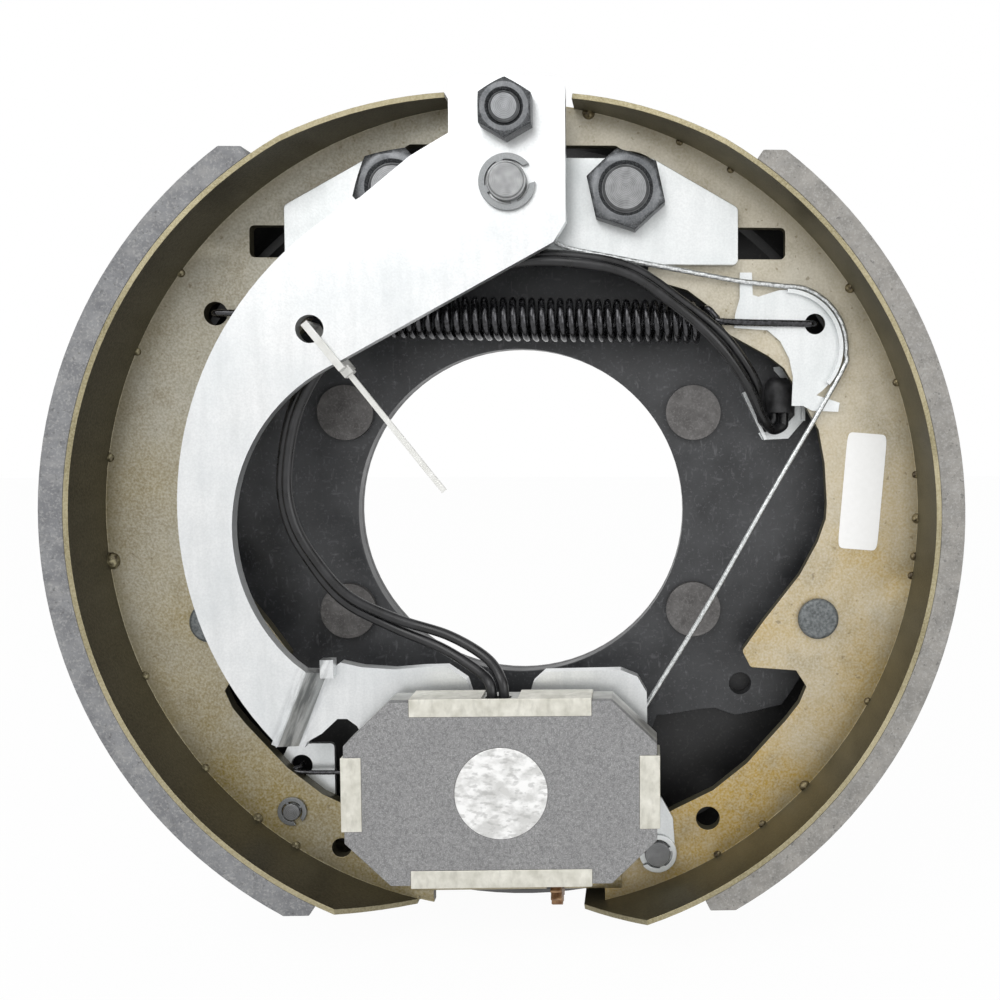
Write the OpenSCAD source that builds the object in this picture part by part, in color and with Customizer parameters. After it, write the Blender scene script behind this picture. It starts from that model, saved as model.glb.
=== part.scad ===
// Electric trailer brake assembly, the left-hand one of a mirrored pair.
// The wheel turns about Y, +Z is up and the open side faces -Y.
// The origin is the centre of the hub hole on the rear mounting face.

/* [Shoes] */
// Radius of the lining's working face, as the drum sees it
lining_r = 151.5; // [140:0.5:165]
// Thickness of the friction lining
lining_t = 7.9; // [5:0.1:10]
// Thickness of the curved shoe table
table_t = 1.8; // [1.5:0.1:2.4]
// Width of the shoe table across the drum
shoe_w = 50; // [44:1:60]
// Thickness of the shoe web
web_t = 5; // [4:0.1:6]
// Distance from the table's front edge back to the web
web_inset = 27; // [25:0.5:30]
// Height of the lining's cut upper end above the hub centre
lining_top_z = 121; // [112:0.5:126]
// Depth of the lining's cut lower end below the hub centre
lining_low_z = 131.4; // [124:0.2:134]
// Angle from the top to the end of the table
table_top_angle = 8.5; // [8:0.5:12]
// Distance from the centre line to the right-hand table's lower end
table_low_right = 23.3; // [20:0.1:27]
// Distance from the centre line to the left-hand table's lower end
table_low_left = 36.2; // [32:0.1:38]
// How far the table's front edge steps back at its upper end
top_step = 14; // [6:0.5:18]
// How far the table's front edge steps back at its lower end
low_step = 28; // [10:0.5:29]
// Height of the slot through each web
slot_h = 10.8; // [7:0.2:12]
// Radius of the spring holes in the webs
spring_hole_r = 4; // [3:0.1:5]

/* [Backing] */
// Outer radius of the pressed backing plate
shield_r = 148; // [146.5:0.5:150]
// Thickness of the backing plate's sheet
shield_t = 2.5; // [2:0.1:3.5]
// How far the backing plate's outer ring is pressed back
shield_step = 4; // [3:0.5:8]
// Depth of the rolled rim
rim_depth = 7; // [4:0.5:12]
// Thickness of the carrier plate
carrier_t = 6; // [5:0.5:8]
// Radius of the hub hole
hub_r = 59; // [55:0.5:62]
// Half the spacing of the mounting studs across
stud_x = 62.7; // [61:0.1:66]
// Half the spacing of the mounting studs up and down
stud_z = 36; // [33:0.5:40]
// Radius of a mounting stud's thread
stud_r = 6; // [5:0.25:7]
// Length of a mounting stud behind the mounting face
stud_len = 28; // [16:1:40]
// Radius of a mounting stud's round head
stud_head_r = 10; // [8.5:0.25:11]

/* [Anchor] */
// Half the spacing of the anchor studs
anchor_x = 38.9; // [36:0.1:42]
// Radius of the anchor stud's thread
anchor_r = 8; // [7:0.25:9]
// Width across flats of the anchor nut
anchor_af = 24; // [22:0.5:26]
// Height of the anchor nut
anchor_nut_h = 8.5; // [6:0.25:9]
// Thickness of the anchor plate
anchor_t = 4; // [3:0.25:5]
// Radius of the pivot post in the arm
pivot_r = 6.5; // [5:0.25:7.5]

/* [Arm] */
// Thickness of the actuating arm's plate
arm_t = 5; // [4:0.25:6]
// Height of the cam bolt above the pivot
cam_lift = 22.7; // [20.7:0.1:25]
// Radius of the cam bolt
cam_bolt_r = 5; // [4.5:0.25:6]
// Radius of the cam bush between the web ends
cam_r = 7; // [6.5:0.1:8.5]
// Width across flats of the cam bolt's nut
cam_af = 17; // [16:0.5:18]
// Step back from the arm's plate to the magnet carrier
arm_step = 8; // [6.5:0.5:9]

/* [Magnet] */
// Width of the magnet
magnet_w = 105.2; // [98:0.2:107]
// Height of the magnet
magnet_h = 63.6; // [58:0.2:66]
// Depth of the magnet from its face to its back
magnet_d = 14; // [13:0.25:15]
// How far the magnet's face stands proud of the shoes
magnet_proud = 2.5; // [1:0.25:4]
// Radius of the magnet's bright core
core_r = 15.4; // [13:0.2:18]
// Radius of the post that the magnet slides on
post_r = 5; // [4:0.25:6]

/* [Adjuster] */
// Radius over the star wheel's teeth
star_r = 13.5; // [12.5:0.25:14.5]
// Number of teeth on the star wheel
star_teeth = 20; // [14:1:24]
// Radius of the adjuster's barrels
barrel_r = 8; // [7.5:0.25:8.5]
// Radius of the adjuster screw
screw_r = 5; // [4:0.25:5.5]
// Radius of the adjuster cable
cable_r = 0.9; // [0.7:0.05:1.1]

/* [Springs and lead] */
// Outer radius of the retractor spring
coil_r = 7.7; // [6.5:0.1:8]
// Radius of the spring wire
wire_r = 1.2; // [0.9:0.05:1.3]
// Number of turns of the retractor spring
coil_turns = 38; // [30:1:40]
// Radius of one wire of the magnet's lead
lead_r = 1.75; // [1.4:0.05:1.8]
// Width of the cable tie's strap
tie_w = 2.5; // [2:0.1:3.5]

/* [Hidden] */
$fn = 64;

// Clearances
shaft_gap = 0.06;
seat_gap = 0.3;
run_gap = 0.5;
cut = 0.1;

// Places along Y, from the mounting face forwards
carrier_back = -shield_t;
carrier_front = carrier_back - carrier_t;
shoe_back = -shield_t - seat_gap;
shoe_front = shoe_back - shoe_w;
web_front = shoe_front + web_inset;
web_back = web_front + web_t;
anchor_back = web_front - run_gap;
anchor_front = anchor_back - anchor_t;
nut_front = anchor_front - anchor_nut_h;
arm_back = nut_front - run_gap;
arm_front = arm_back - arm_t;
carry_back = arm_back + arm_step;
carry_front = arm_front + arm_step;
magnet_front = shoe_front - magnet_proud;
magnet_back = magnet_front + magnet_d;
web_mid = (web_front + web_back) / 2;
guide_t = 1.4;

// Places in the plane of the plates
table_r = lining_r - lining_t;
web_r = table_r - table_t;
plan_r = lining_r - 10.5;
cam_z = plan_r - 6.7;
pivot_z = cam_z - cam_lift;
anchor_z = pivot_z - 0.5;
magnet_x = -2.6;
magnet_z = -(plan_r - 51.2);
adjuster_z = -(plan_r - 14.5);
spring_right = [104.5, 66.8];
spring_left = [-102.6, 70];
hold_x = 106.4;
hold_z = -37;
left_pin = [-79.7, -104.7];
right_pin = [49.4, -120.6];
plate_hole = [-77.7, -89.9];
lever_hook = [33, -94];
arm_hole = [-65.5, 63.5];
grommet_at = [93.4, 41.5];
web_end_x = cam_r + seat_gap;
low_end_x = 30.5;

// Helpers

// A flat plate from a sketch of X and Z, its back at y and its front t before it
module plate(y, t) {
    translate([0, y, 0]) rotate([90, 0, 0]) linear_extrude(t) children();
}

// A round bar along Y at a place in the plane, from y forwards
module bar(at, y, len, r) {
    translate([at[0], y, at[1]]) rotate([90, 0, 0]) cylinder(h = len, r = r);
}

// A hexagon bar with its corners chamfered at the front
module hex_bar(at, y, len, af, turn) {
    corner = af / 2 / cos(30);
    intersection() {
        translate([at[0], y, at[1]]) rotate([90, 0, 0]) rotate([0, 0, turn])
            cylinder(h = len, r = corner, $fn = 6);
        translate([at[0], y, at[1]]) rotate([90, 0, 0]) union() {
            cylinder(h = len * 0.8, r = corner + cut);
            translate([0, 0, len * 0.8]) cylinder(h = len * 0.2, r1 = corner + cut, r2 = af * 0.46);
        }
    }
}

// A hexagon nut with a countersunk thread
module nut(at, y, len, af, r, turn) {
    sink = 1.3;
    difference() {
        hex_bar(at, y, len, af, turn);
        bar(at, y + cut, len + 2 * cut, r);
        translate([at[0], y - len + sink, at[1]]) rotate([90, 0, 0])
            cylinder(h = sink + cut, r1 = r, r2 = r + sink);
    }
}

// A sector of a ring about the wheel's axis, angles from +X towards +Z
module ring_sector(r_in, r_out, y, w, a0, a1) {
    translate([0, y, 0]) rotate([90, 0, 0]) rotate([0, 0, a0])
        rotate_extrude(angle = a1 - a0, $fn = 180) translate([r_in, 0]) square([r_out - r_in, w]);
}

// Points of an arc, from angle a0 to a1 in n steps
function arc(c, r, a0, a1, n) =
    [for (i = [0:n]) let (a = a0 + (a1 - a0) * i / n) [c[0] + r * cos(a), c[1] + r * sin(a)]];

// A sketch with its corners rounded to r
module rounded(r) {
    offset(r = r, $fn = 32) offset(delta = -r) children();
}

// An open retaining clip that grips a groove of radius r_in
module e_clip(at, y, t, r_in, r_out, turn) {
    translate([at[0], y, at[1]]) rotate([90, 0, 0]) rotate([0, 0, turn]) linear_extrude(t) {
        difference() {
            circle(r = r_out);
            circle(r = r_in + (r_out - r_in) * 0.45);
            translate([0, -r_in * 0.55]) square([r_out + cut, r_in * 1.1]);
        }
        for (a = [90, 180, 270]) rotate([0, 0, a])
            translate([r_in, -r_in * 0.22]) square([(r_out - r_in) * 0.7, r_in * 0.44]);
    }
}

// A tube of round section swept along a list of points
function unit(v) = v / norm(v);
function along(p) = [for (i = [0:len(p) - 1]) unit(p[min(i + 1, len(p) - 1)] - p[max(i - 1, 0)])];
function across(t) = [for (
    i = 0, v = unit(cross(t[0], abs(t[0][1]) < 0.9 ? [0, 1, 0] : [1, 0, 0]));
    i < len(t);
    i = i + 1, v = i < len(t) ? unit(v - (v * t[i]) * t[i]) : v) v];
// A smooth curve through hand-chosen points, n steps between each two
function smooth(p, n) = concat([for (i = [0:len(p) - 2], k = [0:n - 1])
    let (a = p[max(i - 1, 0)], b = p[i], c = p[i + 1], d = p[min(i + 2, len(p) - 1)], u = k / n)
    0.5 * (2 * b + (c - a) * u + (2 * a - 5 * b + 4 * c - d) * u * u
    + (3 * b - a - 3 * c + d) * u * u * u)], [p[len(p) - 1]]);

module tube(p, r, sides) {
    t = along(p);
    v = across(t);
    n = len(p);
    rings = [for (i = [0:n - 1], k = [0:sides - 1])
        p[i] + r * (cos(360 * k / sides) * v[i] + sin(360 * k / sides) * cross(t[i], v[i]))];
    walls = [for (i = [0:n - 2], k = [0:sides - 1]) let (m = (k + 1) % sides)
        [i * sides + k, (i + 1) * sides + k, (i + 1) * sides + m, i * sides + m]];
    polyhedron(points = rings, faces = concat(walls, [[for (k = [0:sides - 1]) k]],
        [[for (k = [sides - 1:-1:0]) (n - 1) * sides + k]]));
}

// Points of a helix about X, from x0 to x1
function coil(x0, x1, at, r, turns, steps) = [for (i = [0:turns * steps])
    let (a = 360 * i / steps)
    [x0 + (x1 - x0) * i / (turns * steps), at[0] + r * cos(a), at[1] + r * sin(a)]];

// Backing

// Pressed steel backing plate: flat middle, outer ring pressed back, rolled rim
module backing_plate() color("#1d1d1e") {
    flat_r = 130;
    ring_r = 134;
    pad_r = 5;
    pad_at = (web_r + table_r) / 2 - pad_r / 2;
    difference() {
        rotate([90, 0, 0]) rotate_extrude($fn = 180) polygon([
            [hub_r, 0], [flat_r, 0], [ring_r, -shield_step], [shield_r - 3, -shield_step],
            [shield_r - shield_t, -shield_step - 3 + shield_t],
            [shield_r - shield_t, -shield_step - rim_depth],
            [shield_r, -shield_step - rim_depth], [shield_r, -shield_step],
            [shield_r - shield_t, shield_t - shield_step], [ring_r, shield_t - shield_step],
            [flat_r, shield_t], [hub_r, shield_t]]);
        for (sx = [-1, 1]) {
            for (sz = [-1, 1]) bar([sx * stud_x, sz * stud_z], cut, shield_t + 2 * cut, knurl_r);
            bar([sx * anchor_x, anchor_z], cut, shield_t + 2 * cut, anchor_r);
            bar([sx * hold_x, hold_z], cut, shield_t + 2 * cut, hold_r);
        }
        bar(grommet_at, cut, shield_t + 2 * cut, grommet_neck_r);
        bar([0, pivot_z], cut, shield_t + 2 * cut, pivot_r);
    }
    for (sx = [-1, 1], a = [-48, 0, 42])
        bar(pad_at * [sx * cos(a), sin(a)], shield_step - shield_t / 2, shield_step + shield_t / 2, pad_r);
}

// Thick plate that carries the anchor and is clamped by the mounting studs
module carrier_plate() color("#333436") {
    side_hole = [80.2, -64.3];
    low_edge = [[52, -76], [65, -73.9], [70.9, -73.5], [74.3, -74.9], [78.5, -76.2], [84.4, -75.2],
        [99.5, -71.5], [140, -62]];
    n = len(low_edge);
    difference() {
        union() {
            difference() {
                bar([0, 0], carrier_back, carrier_t, 120);
                plate(carrier_back + cut, carrier_t + 2 * cut) polygon(concat(low_edge,
                    [[140, -140], [-140, -140]],
                    [for (i = [n - 1:-1:0]) [-low_edge[i][0], low_edge[i][1]]]));
            }
            plate(carrier_back, carrier_t) polygon([[-66, 80], [-66, anchor_z - 3],
                [-48, anchor_z + 13], [48, anchor_z + 13], [66, anchor_z - 3], [66, 80]]);
            plate(carrier_back, carrier_t) polygon([[-52, -70], [-46, -84], [46, -84], [52, -70]]);
        }
        bar([0, 0], carrier_back + cut, carrier_t + 2 * cut, hub_r);
        for (sx = [-1, 1]) {
            for (sz = [-1, 1])
                bar([sx * stud_x, sz * stud_z], carrier_back + cut, carrier_t + 2 * cut, knurl_r);
            bar([sx * anchor_x, anchor_z], carrier_back + cut, carrier_t + 2 * cut, anchor_r);
            bar([sx * side_hole[0], side_hole[1]], carrier_back + cut, carrier_t + 2 * cut,
                spring_hole_r);
            bar([sx * hold_x, hold_z], carrier_back + cut, carrier_t + 2 * cut, hold_r);
        }
        bar(grommet_at, carrier_back + cut, carrier_t + 2 * cut, grommet_neck_r);
        bar([0, pivot_z], carrier_back + cut, carrier_t + 2 * cut, pivot_r);
    }
}

stud_head_t = 3;
knurl_r = stud_r + 0.4;
// Round-headed studs, pressed through both plates by a thicker neck, with their threads behind
module mounting_studs() color("#4a4745") {
    for (sx = [-1, 1], sz = [-1, 1]) {
        at = [sx * stud_x, sz * stud_z];
        bar(at, stud_len, stud_len, stud_r);
        bar(at, 0, -carrier_front, knurl_r);
        bar(at, carrier_front, stud_head_t, stud_head_r);
    }
}

hold_r = 3.2;
hold_head_r = 7.2;
hold_head_t = 2.2;
hold_hole_r = 5.4;
// Headed pins that keep the webs from lifting, peened behind the backing plate
module hold_down_pins() color("#5c5e5f") {
    for (sx = [-1, 1]) {
        at = [sx * hold_x, hold_z];
        bar(at, 1.5, 1.5, hold_r + 1.6);
        bar(at, 0, -(web_front - seat_gap), hold_r);
        translate([at[0], web_front - seat_gap, at[1]]) rotate([90, 0, 0]) {
            cylinder(h = hold_head_t * 0.7, r = hold_head_r);
            translate([0, 0, hold_head_t * 0.7])
                cylinder(h = hold_head_t * 0.3, r1 = hold_head_r, r2 = hold_head_r - 0.9);
        }
    }
}

// Anchor

shoulder_r = anchor_r + 3;
// Studs with a shoulder between the two plates, peened behind the backing plate
module anchor_studs() color("#454749") {
    for (sx = [-1, 1]) {
        at = [sx * anchor_x, anchor_z];
        bar(at, 2, 2, anchor_r + 2);
        bar(at, 0, -carrier_front, anchor_r);
        bar(at, carrier_front, carrier_front - anchor_back, shoulder_r);
        bar(at, anchor_back, anchor_t + anchor_nut_h - 1.2, anchor_r);
        translate([at[0], nut_front + 1.3, at[1]]) rotate([90, 0, 0])
            cylinder(h = 1.4, r1 = anchor_r, r2 = anchor_r - 1.1);
    }
}

module anchor_nuts() color("#3f4144") {
    nut([-anchor_x, anchor_z], anchor_front, anchor_nut_h, anchor_af, anchor_r, 12);
    nut([anchor_x, anchor_z], anchor_front, anchor_nut_h, anchor_af, anchor_r, -17.5);
}

// Bright plate over the webs that the shoes bear against
module anchor_plate() color("#e4e6e6") {
    difference() {
        plate(anchor_back, anchor_t) rounded(2) polygon([[-48, anchor_z + 11.6],
            [48, anchor_z + 11.6], [77.3, anchor_z - 4.9], [77.3, anchor_z - 24.4],
            [-77.3, anchor_z - 24.4], [-77.3, anchor_z - 4.9]]);
        for (sx = [-1, 1]) bar([sx * anchor_x, anchor_z], anchor_back + cut, anchor_t + 2 * cut, anchor_r);
        bar([0, pivot_z], anchor_back + cut, anchor_t + 2 * cut, pivot_r);
    }
}

clip_t = 1.2;
clip_groove_r = pivot_r - 1;
clip_at_y = arm_front - 0.5;
eye_t = 3.4;
// Post that the arm turns on, with a shoulder behind the arm and a groove for its clip
module pivot_post() color("#7b7c7d") {
    at = [0, pivot_z];
    collar_y = anchor_front - eye_t - seat_gap;
    bar(at, 2, 2, pivot_r + 2);
    bar(at, 0, -carrier_front, pivot_r);
    bar(at, carrier_front, carrier_front - anchor_back, pivot_r + 3);
    bar(at, anchor_back, anchor_back - clip_at_y, pivot_r);
    bar(at, collar_y, collar_y - arm_back - seat_gap, pivot_r + 4);
    bar(at, clip_at_y, clip_t, clip_groove_r);
    bar(at, clip_at_y - clip_t, 2.2, pivot_r);
    bar(at, clip_at_y - clip_t - 2.2, 0.8, pivot_r - 0.8);
}

module pivot_clip() color("#8a8b8b")
    e_clip([0, pivot_z], clip_at_y, clip_t, clip_groove_r, 9.35, 20);

// Arm

// Flat steel arm: head at the pivot, C-shaped band, stepped back to carry the magnet
module actuating_arm() color("#eceeee") {
    head_x = 19.1;
    bend_top = [-69, magnet_z + 38.8];
    bend_low = [-79.2, magnet_z + 13];
    bend = bend_top - bend_low;
    lean = atan2(bend[0], bend[1]);
    bend_w = 5.5;
    step = bend_w * [cos(lean), -sin(lean)];
    outer = arc([6.4, 3.6], 116.5, 118, 222, 40);
    inner = arc([-31, -3.2], 61.3, 227, 114.5, 30);
    band = concat([[-head_x, pivot_z + 16], [-32, pivot_z + 8.3]], outer, [bend_low, bend_top],
        inner, [[15, pivot_z - 19.3], [head_x, pivot_z - 12.5], [head_x, pivot_z + 10]]);
    carry = [bend_low + step, bend_top + step, [-59.4, magnet_z + 40.2], [-52, magnet_z + 38.5],
        [-41, magnet_z + 37.7], [-31.7, magnet_z + 38.4], [-23, magnet_z + 38.6],
        [-16.4, magnet_z + 34], [-13.8, magnet_z + 26], [4.5, magnet_z + 26],
        [6.5, magnet_z + 33], [10.5, magnet_z + 36.6], [36.6, magnet_z + 37], [42.4, magnet_z + 34.6],
        [45.6, magnet_z + 29], [46.2, magnet_z - 10], [40, magnet_z - 13], [-30, magnet_z - 13],
        [-46, magnet_z], [-54, magnet_z + 18], [-57.4, magnet_z + 20.6], [-60.7, magnet_z + 20.6],
        [-66, magnet_z + 15.6]];
    difference() {
        union() {
            plate(arm_back, arm_t) polygon(band);
            plate(arm_back, arm_t) rounded(3.5)
                translate([-head_x, pivot_z - 13]) square([2 * head_x, 47.5]);
            translate([bend_low[0], 0, bend_low[1]]) rotate([0, lean, 0]) translate([0, 0, seat_gap])
                linear_extrude(norm(bend) - 2 * seat_gap) polygon([[-2, arm_front + 0.4],
                    [0.3, arm_front + 0.4], [bend_w + 0.3, carry_front + 0.4],
                    [bend_w + 2, carry_front + 0.4], [bend_w + 2, carry_back - 0.4],
                    [bend_w - 2.2, carry_back - 0.4], [-2, arm_back - 0.4]]);
            plate(carry_back, arm_t) polygon(carry);
            translate([-65.3, arm_back - 1, magnet_z + 35.6]) cube([4.5, 4.6, 6.3]);
        }
        bar([0, pivot_z], arm_back + cut, arm_t + 2 * cut, pivot_r + shaft_gap);
        bar([0, cam_z], arm_back + cut, arm_t + 2 * cut, cam_bolt_r);
        bar(arm_hole, arm_back + cut, arm_t + 2 * cut, 4.66);
        bar([magnet_x, magnet_z], carry_back + cut, arm_t + 2 * cut, post_r);
    }
}

cam_nut_h = 8;
cam_head_h = 6;
cam_back = web_back + 1.5;
module cam_bolt() color("#4c4e50") {
    at = [0, cam_z];
    hex_bar(at, cam_back + cam_head_h, cam_head_h, cam_af, 0);
    bar(at, cam_back, cam_back - arm_front + cam_nut_h - 0.6, cam_bolt_r);
    translate([0, arm_front - cam_nut_h + 0.7, cam_z]) rotate([90, 0, 0])
        cylinder(h = 1.2, r1 = cam_bolt_r, r2 = cam_bolt_r - 0.9);
}

module cam_nut() color("#46484b")
    nut([0, cam_z], arm_front, cam_nut_h, cam_af, cam_bolt_r, 30);

// Hard bush on the cam bolt that pushes one web end or the other
module cam_bush() color("#6d6f70") difference() {
    bar([0, cam_z], cam_back, cam_back - arm_back, cam_r);
    bar([0, cam_z], cam_back + cut, cam_back - arm_back + 2 * cut, cam_bolt_r);
}

// Shoes

// The web's sketch on the right-hand side
module web_sketch() {
    intersection() {
        circle(r = web_r + table_t / 4, $fn = 180);
        rounded(1.6) polygon([
            [web_end_x, 170], [web_end_x, plan_r - 13.2], [35.3, plan_r - 13.2], [42.7, plan_r - 18],
            [47, plan_r - 29], [47, plan_r - 51], [45.8, 82.5], [60, 78.5], [68, 72.5], [74, 63.5],
            [88.3, 55.7], [93.9, 51.4], [97.6, 45.3], [106.2, 29.9], [108.4, 18.1], [109.3, 4],
            [109, -1.6], [106.2, -9.6], [100, -21.3], [87.1, -37.9], [79.5, -48.6], [82.5, -54.5],
            [98.8, -55.8], [102.5, -61.6], [100, -67.5], [95.5, -73.4], [81.4, -89.1],
            [69.2, -98.9], [55.1, -105.7], [40, adjuster_z + 12], [low_end_x, adjuster_z + 9],
            [low_end_x, -170], [190, -170], [190, 170]]);
    }
}

// A shoe on the right-hand side: curved table with the web welded inside it
module shoe(low_x, spring_at, slot_x) {
    low_a = asin(low_x / table_r);
    top_x = web_r * sin(table_top_angle) - 1;
    top_y = shoe_front + top_step;
    low_y = shoe_front + low_step;
    difference() {
        union() {
            ring_sector(web_r, table_r, shoe_back, shoe_w, low_a - 90, 90 - table_top_angle);
            plate(web_back, web_t) web_sketch();
        }
        translate([0, 0, lining_top_z - 30]) linear_extrude(80) polygon([[72, shoe_front - cut],
            [top_x, top_y], [-1, top_y], [-1, shoe_front - 9], [72, shoe_front - 9]]);
        difference() {
            translate([0, 0, -170]) linear_extrude(60) polygon([[low_x + 22.5, shoe_front - cut],
                [low_x - 1, low_y], [-1, low_y], [-1, shoe_front - 9],
                [low_x + 22.5, shoe_front - 9]]);
            plate(web_back, web_t + 0.01) circle(r = web_r - 1);
        }
        bar([anchor_x, anchor_z], web_back + cut, web_t + 2 * cut, shoulder_r + 4);
        plate(web_back + cut, web_t + 2 * cut) rounded(1.8)
            translate([58, anchor_z - 21.8]) square([slot_x - 58, slot_h]);
        bar(spring_at, web_back + cut, web_t + 2 * cut, spring_hole_r);
        bar([hold_x, hold_z], web_back + cut, web_t + 2 * cut, hold_hole_r);
    }
}

module lining(y, w) {
    low_a = 27;
    top_a = 34.7;
    intersection() {
        ring_sector(table_r, lining_r, y, w, low_a - 90, 90 - top_a);
        translate([0, y - w - 1, -lining_low_z]) cube([200, w + 2, lining_low_z + lining_top_z]);
    }
}

left_pin_r = 3;
right_pin_r = 4.5;
module primary_shoe() color("#a89f80") difference() {
    mirror([1, 0, 0]) shoe(table_low_left, [-spring_left[0], spring_left[1]], 90.5);
    bar(left_pin, web_back + cut, web_t + 2 * cut, left_pin_r);
    bar([-62.8, -118.3], web_back + cut, web_t + 2 * cut, 3.4);
}

module secondary_shoe() color("#c4b98e") difference() {
    shoe(table_low_right, spring_right, 94.1);
    bar(right_pin, web_back + cut, web_t + 2 * cut, right_pin_r);
    bar([67.4, -109.1], web_back + cut, web_t + 2 * cut, 4.2);
}

module primary_lining() color("#77777a") mirror([1, 0, 0]) lining(shoe_back, shoe_w);
module secondary_lining() color("#8c8a86") lining(shoe_back, shoe_w);

// Blank white sticker on the right-hand web
module label() color("#fafafa") translate([121.9, web_front, 8.1]) rotate([90, 0, 0])
    rotate([0, 0, -4.6]) linear_extrude(0.3) translate([-7, -20.6]) square([14, 41.2]);

plate_t = 2;
// Bright plate behind the left-hand web that anchors the lower spring
module spring_plate() color("#e2e4e3") difference() {
    plate(web_back + plate_t, plate_t) rounded(1.5) polygon([[-89.5, -97], [-82, -82], [-66, -82],
        [-66, -108], [-72, -112.5], [-85.5, -110.5]]);
    bar(left_pin, web_back + plate_t + cut, plate_t + 2 * cut, left_pin_r);
    bar(plate_hole, web_back + plate_t + cut, plate_t + 2 * cut, 3.8);
}

module primary_pin() color("#6a6b6c") {
    bar(left_pin, web_back + plate_t + 1.6, 1.6, left_pin_r + 1.6);
    bar(left_pin, web_back + plate_t, plate_t + web_t + 0.2, left_pin_r);
    bar(left_pin, web_front - 0.2, 1, left_pin_r - 0.7);
    bar(left_pin, web_front - 1.2, 1, left_pin_r);
}

module primary_pin_clip() color("#55575a")
    e_clip(left_pin, web_front - 0.2, 1, left_pin_r - 0.7, 5.1, -60);

// Pin in the right-hand web that the adjuster lever turns on
lever_back = web_front - seat_gap;
lever_front = lever_back - plate_t;
module lever_pin() color("#56585b") {
    bar(right_pin, web_back + 1.6, 1.6, right_pin_r + 1.6);
    bar(right_pin, web_back, web_back - lever_front + seat_gap, right_pin_r);
    bar(right_pin, lever_front - seat_gap, 1, right_pin_r - 0.8);
    bar(right_pin, lever_front - seat_gap - 1, 0.8, right_pin_r);
}

module lever_pin_clip() color("#e9eaea")
    e_clip(right_pin, lever_front - seat_gap, 1, right_pin_r - 0.8, 6.8, 200);

// Magnet

chamfer_x = 15;
chamfer_z = 14.5;
module magnet_sketch(grow) {
    w = magnet_w / 2 + grow;
    h = magnet_h / 2 + grow;
    translate([magnet_x, magnet_z]) polygon([[-w, chamfer_z - h], [-w + chamfer_x, -h],
        [w - chamfer_x, -h], [w, chamfer_z - h], [w, h - chamfer_z], [w - chamfer_x, h],
        [-w + chamfer_x, h], [-w, h - chamfer_z]]);
}

face_t = 4;
tab_t = 1;
tab_long = 30;
tab_short = 12.4;
tab_z = 6;
tab_x = 6.8;
coil_in = core_r + 1.5;
coil_out = 25;
// Sintered face, with shallow ledges for the folded clamps
module magnet_face() color("#8f8f8e") difference() {
    plate(magnet_front + face_t, face_t) magnet_sketch(-tab_t);
    bar([magnet_x, magnet_z], magnet_front + face_t + cut, face_t + 2 * cut, core_r);
    for (s = [-1, 1]) {
        translate([magnet_x - tab_long, magnet_front - cut, magnet_z + s * magnet_h / 2 - tab_z])
            cube([2 * tab_long, tab_t + cut, 2 * tab_z]);
        translate([magnet_x + s * magnet_w / 2 - tab_x, magnet_front - cut, magnet_z - tab_short])
            cube([2 * tab_x, tab_t + cut, 2 * tab_short]);
    }
}

lead_out_x = -4;
// Shell behind the face, with a pocket for the coil
module magnet_housing() color("#9c9d9b") difference() {
    plate(magnet_back, magnet_d - face_t) magnet_sketch(-tab_t);
    bar([magnet_x, magnet_z], magnet_back - 2, magnet_d, coil_out + 0.5);
    bar([magnet_x, magnet_z], magnet_back + cut, 4, core_r);
    translate([lead_out_x - lead_r * 2 - 0.8, magnet_front + face_t + cut - 8, magnet_z + 20])
        cube([4 * lead_r + 1.6, 8 + 4.5, 20]);
}

// Folded sheet clamps, one on each side
module magnet_clamps() color("#dcdacd") translate([magnet_x, 0, magnet_z]) {
    h = magnet_h / 2;
    w = magnet_w / 2;
    deep = magnet_back - 1 - magnet_front;
    gap = [lead_out_x - magnet_x - 5, lead_out_x - magnet_x + 7];
    for (s = [-1, 1]) {
        translate([-tab_long, magnet_front, s > 0 ? h - tab_z : -h]) cube([2 * tab_long, tab_t, tab_z]);
        translate([s > 0 ? w - tab_x : -w, magnet_front, -tab_short])
            cube([tab_x, tab_t, 2 * tab_short]);
        translate([s > 0 ? w - tab_t : -w, magnet_front, -tab_short])
            cube([tab_t, deep, 2 * tab_short]);
    }
    translate([-tab_long, magnet_front, -h]) cube([2 * tab_long, deep, tab_t]);
    translate([-tab_long, magnet_front, h - tab_t]) cube([tab_long + gap[0], deep, tab_t]);
    translate([gap[1], magnet_front, h - tab_t]) cube([tab_long - gap[1], deep, tab_t]);
}

post_in = 9;
module magnet_core() color("#d5d6d5") difference() {
    bar([magnet_x, magnet_z], magnet_back, magnet_d, core_r);
    bar([magnet_x, magnet_z], magnet_back + cut, post_in + cut, post_r + shaft_gap);
}

module magnet_coil() color("#8a4a25") difference() {
    bar([magnet_x, magnet_z], magnet_back - 2.2, magnet_d - face_t - 2.4, coil_out);
    bar([magnet_x, magnet_z], magnet_back, magnet_d, coil_in);
}

magnet_travel = 3;
module magnet_post() color("#8d8f90") {
    bar([magnet_x, magnet_z], carry_back + 1.6, 1.6, post_r + 2);
    bar([magnet_x, magnet_z], carry_back, carry_back - magnet_back + post_in - magnet_travel - 1, post_r);
}

// Cone-shaped spring on the post that presses the magnet to the drum
module magnet_spring() color("#2c2c2d") {
    turns = 3;
    steps = 14;
    back = carry_front - 0.7;
    front = magnet_back + 0.7;
    tube([for (i = [0:turns * steps])
        let (u = i / (turns * steps), a = 360 * i / steps, r = 14 - 6 * u)
        [magnet_x + r * cos(a), back + (front - back) * u, magnet_z + r * sin(a)]], 0.6, 6);
}

// Springs

retract_y = web_front + 1.3;
hook_wire_y = web_front - guide_t - wire_r - 0.4;
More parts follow.
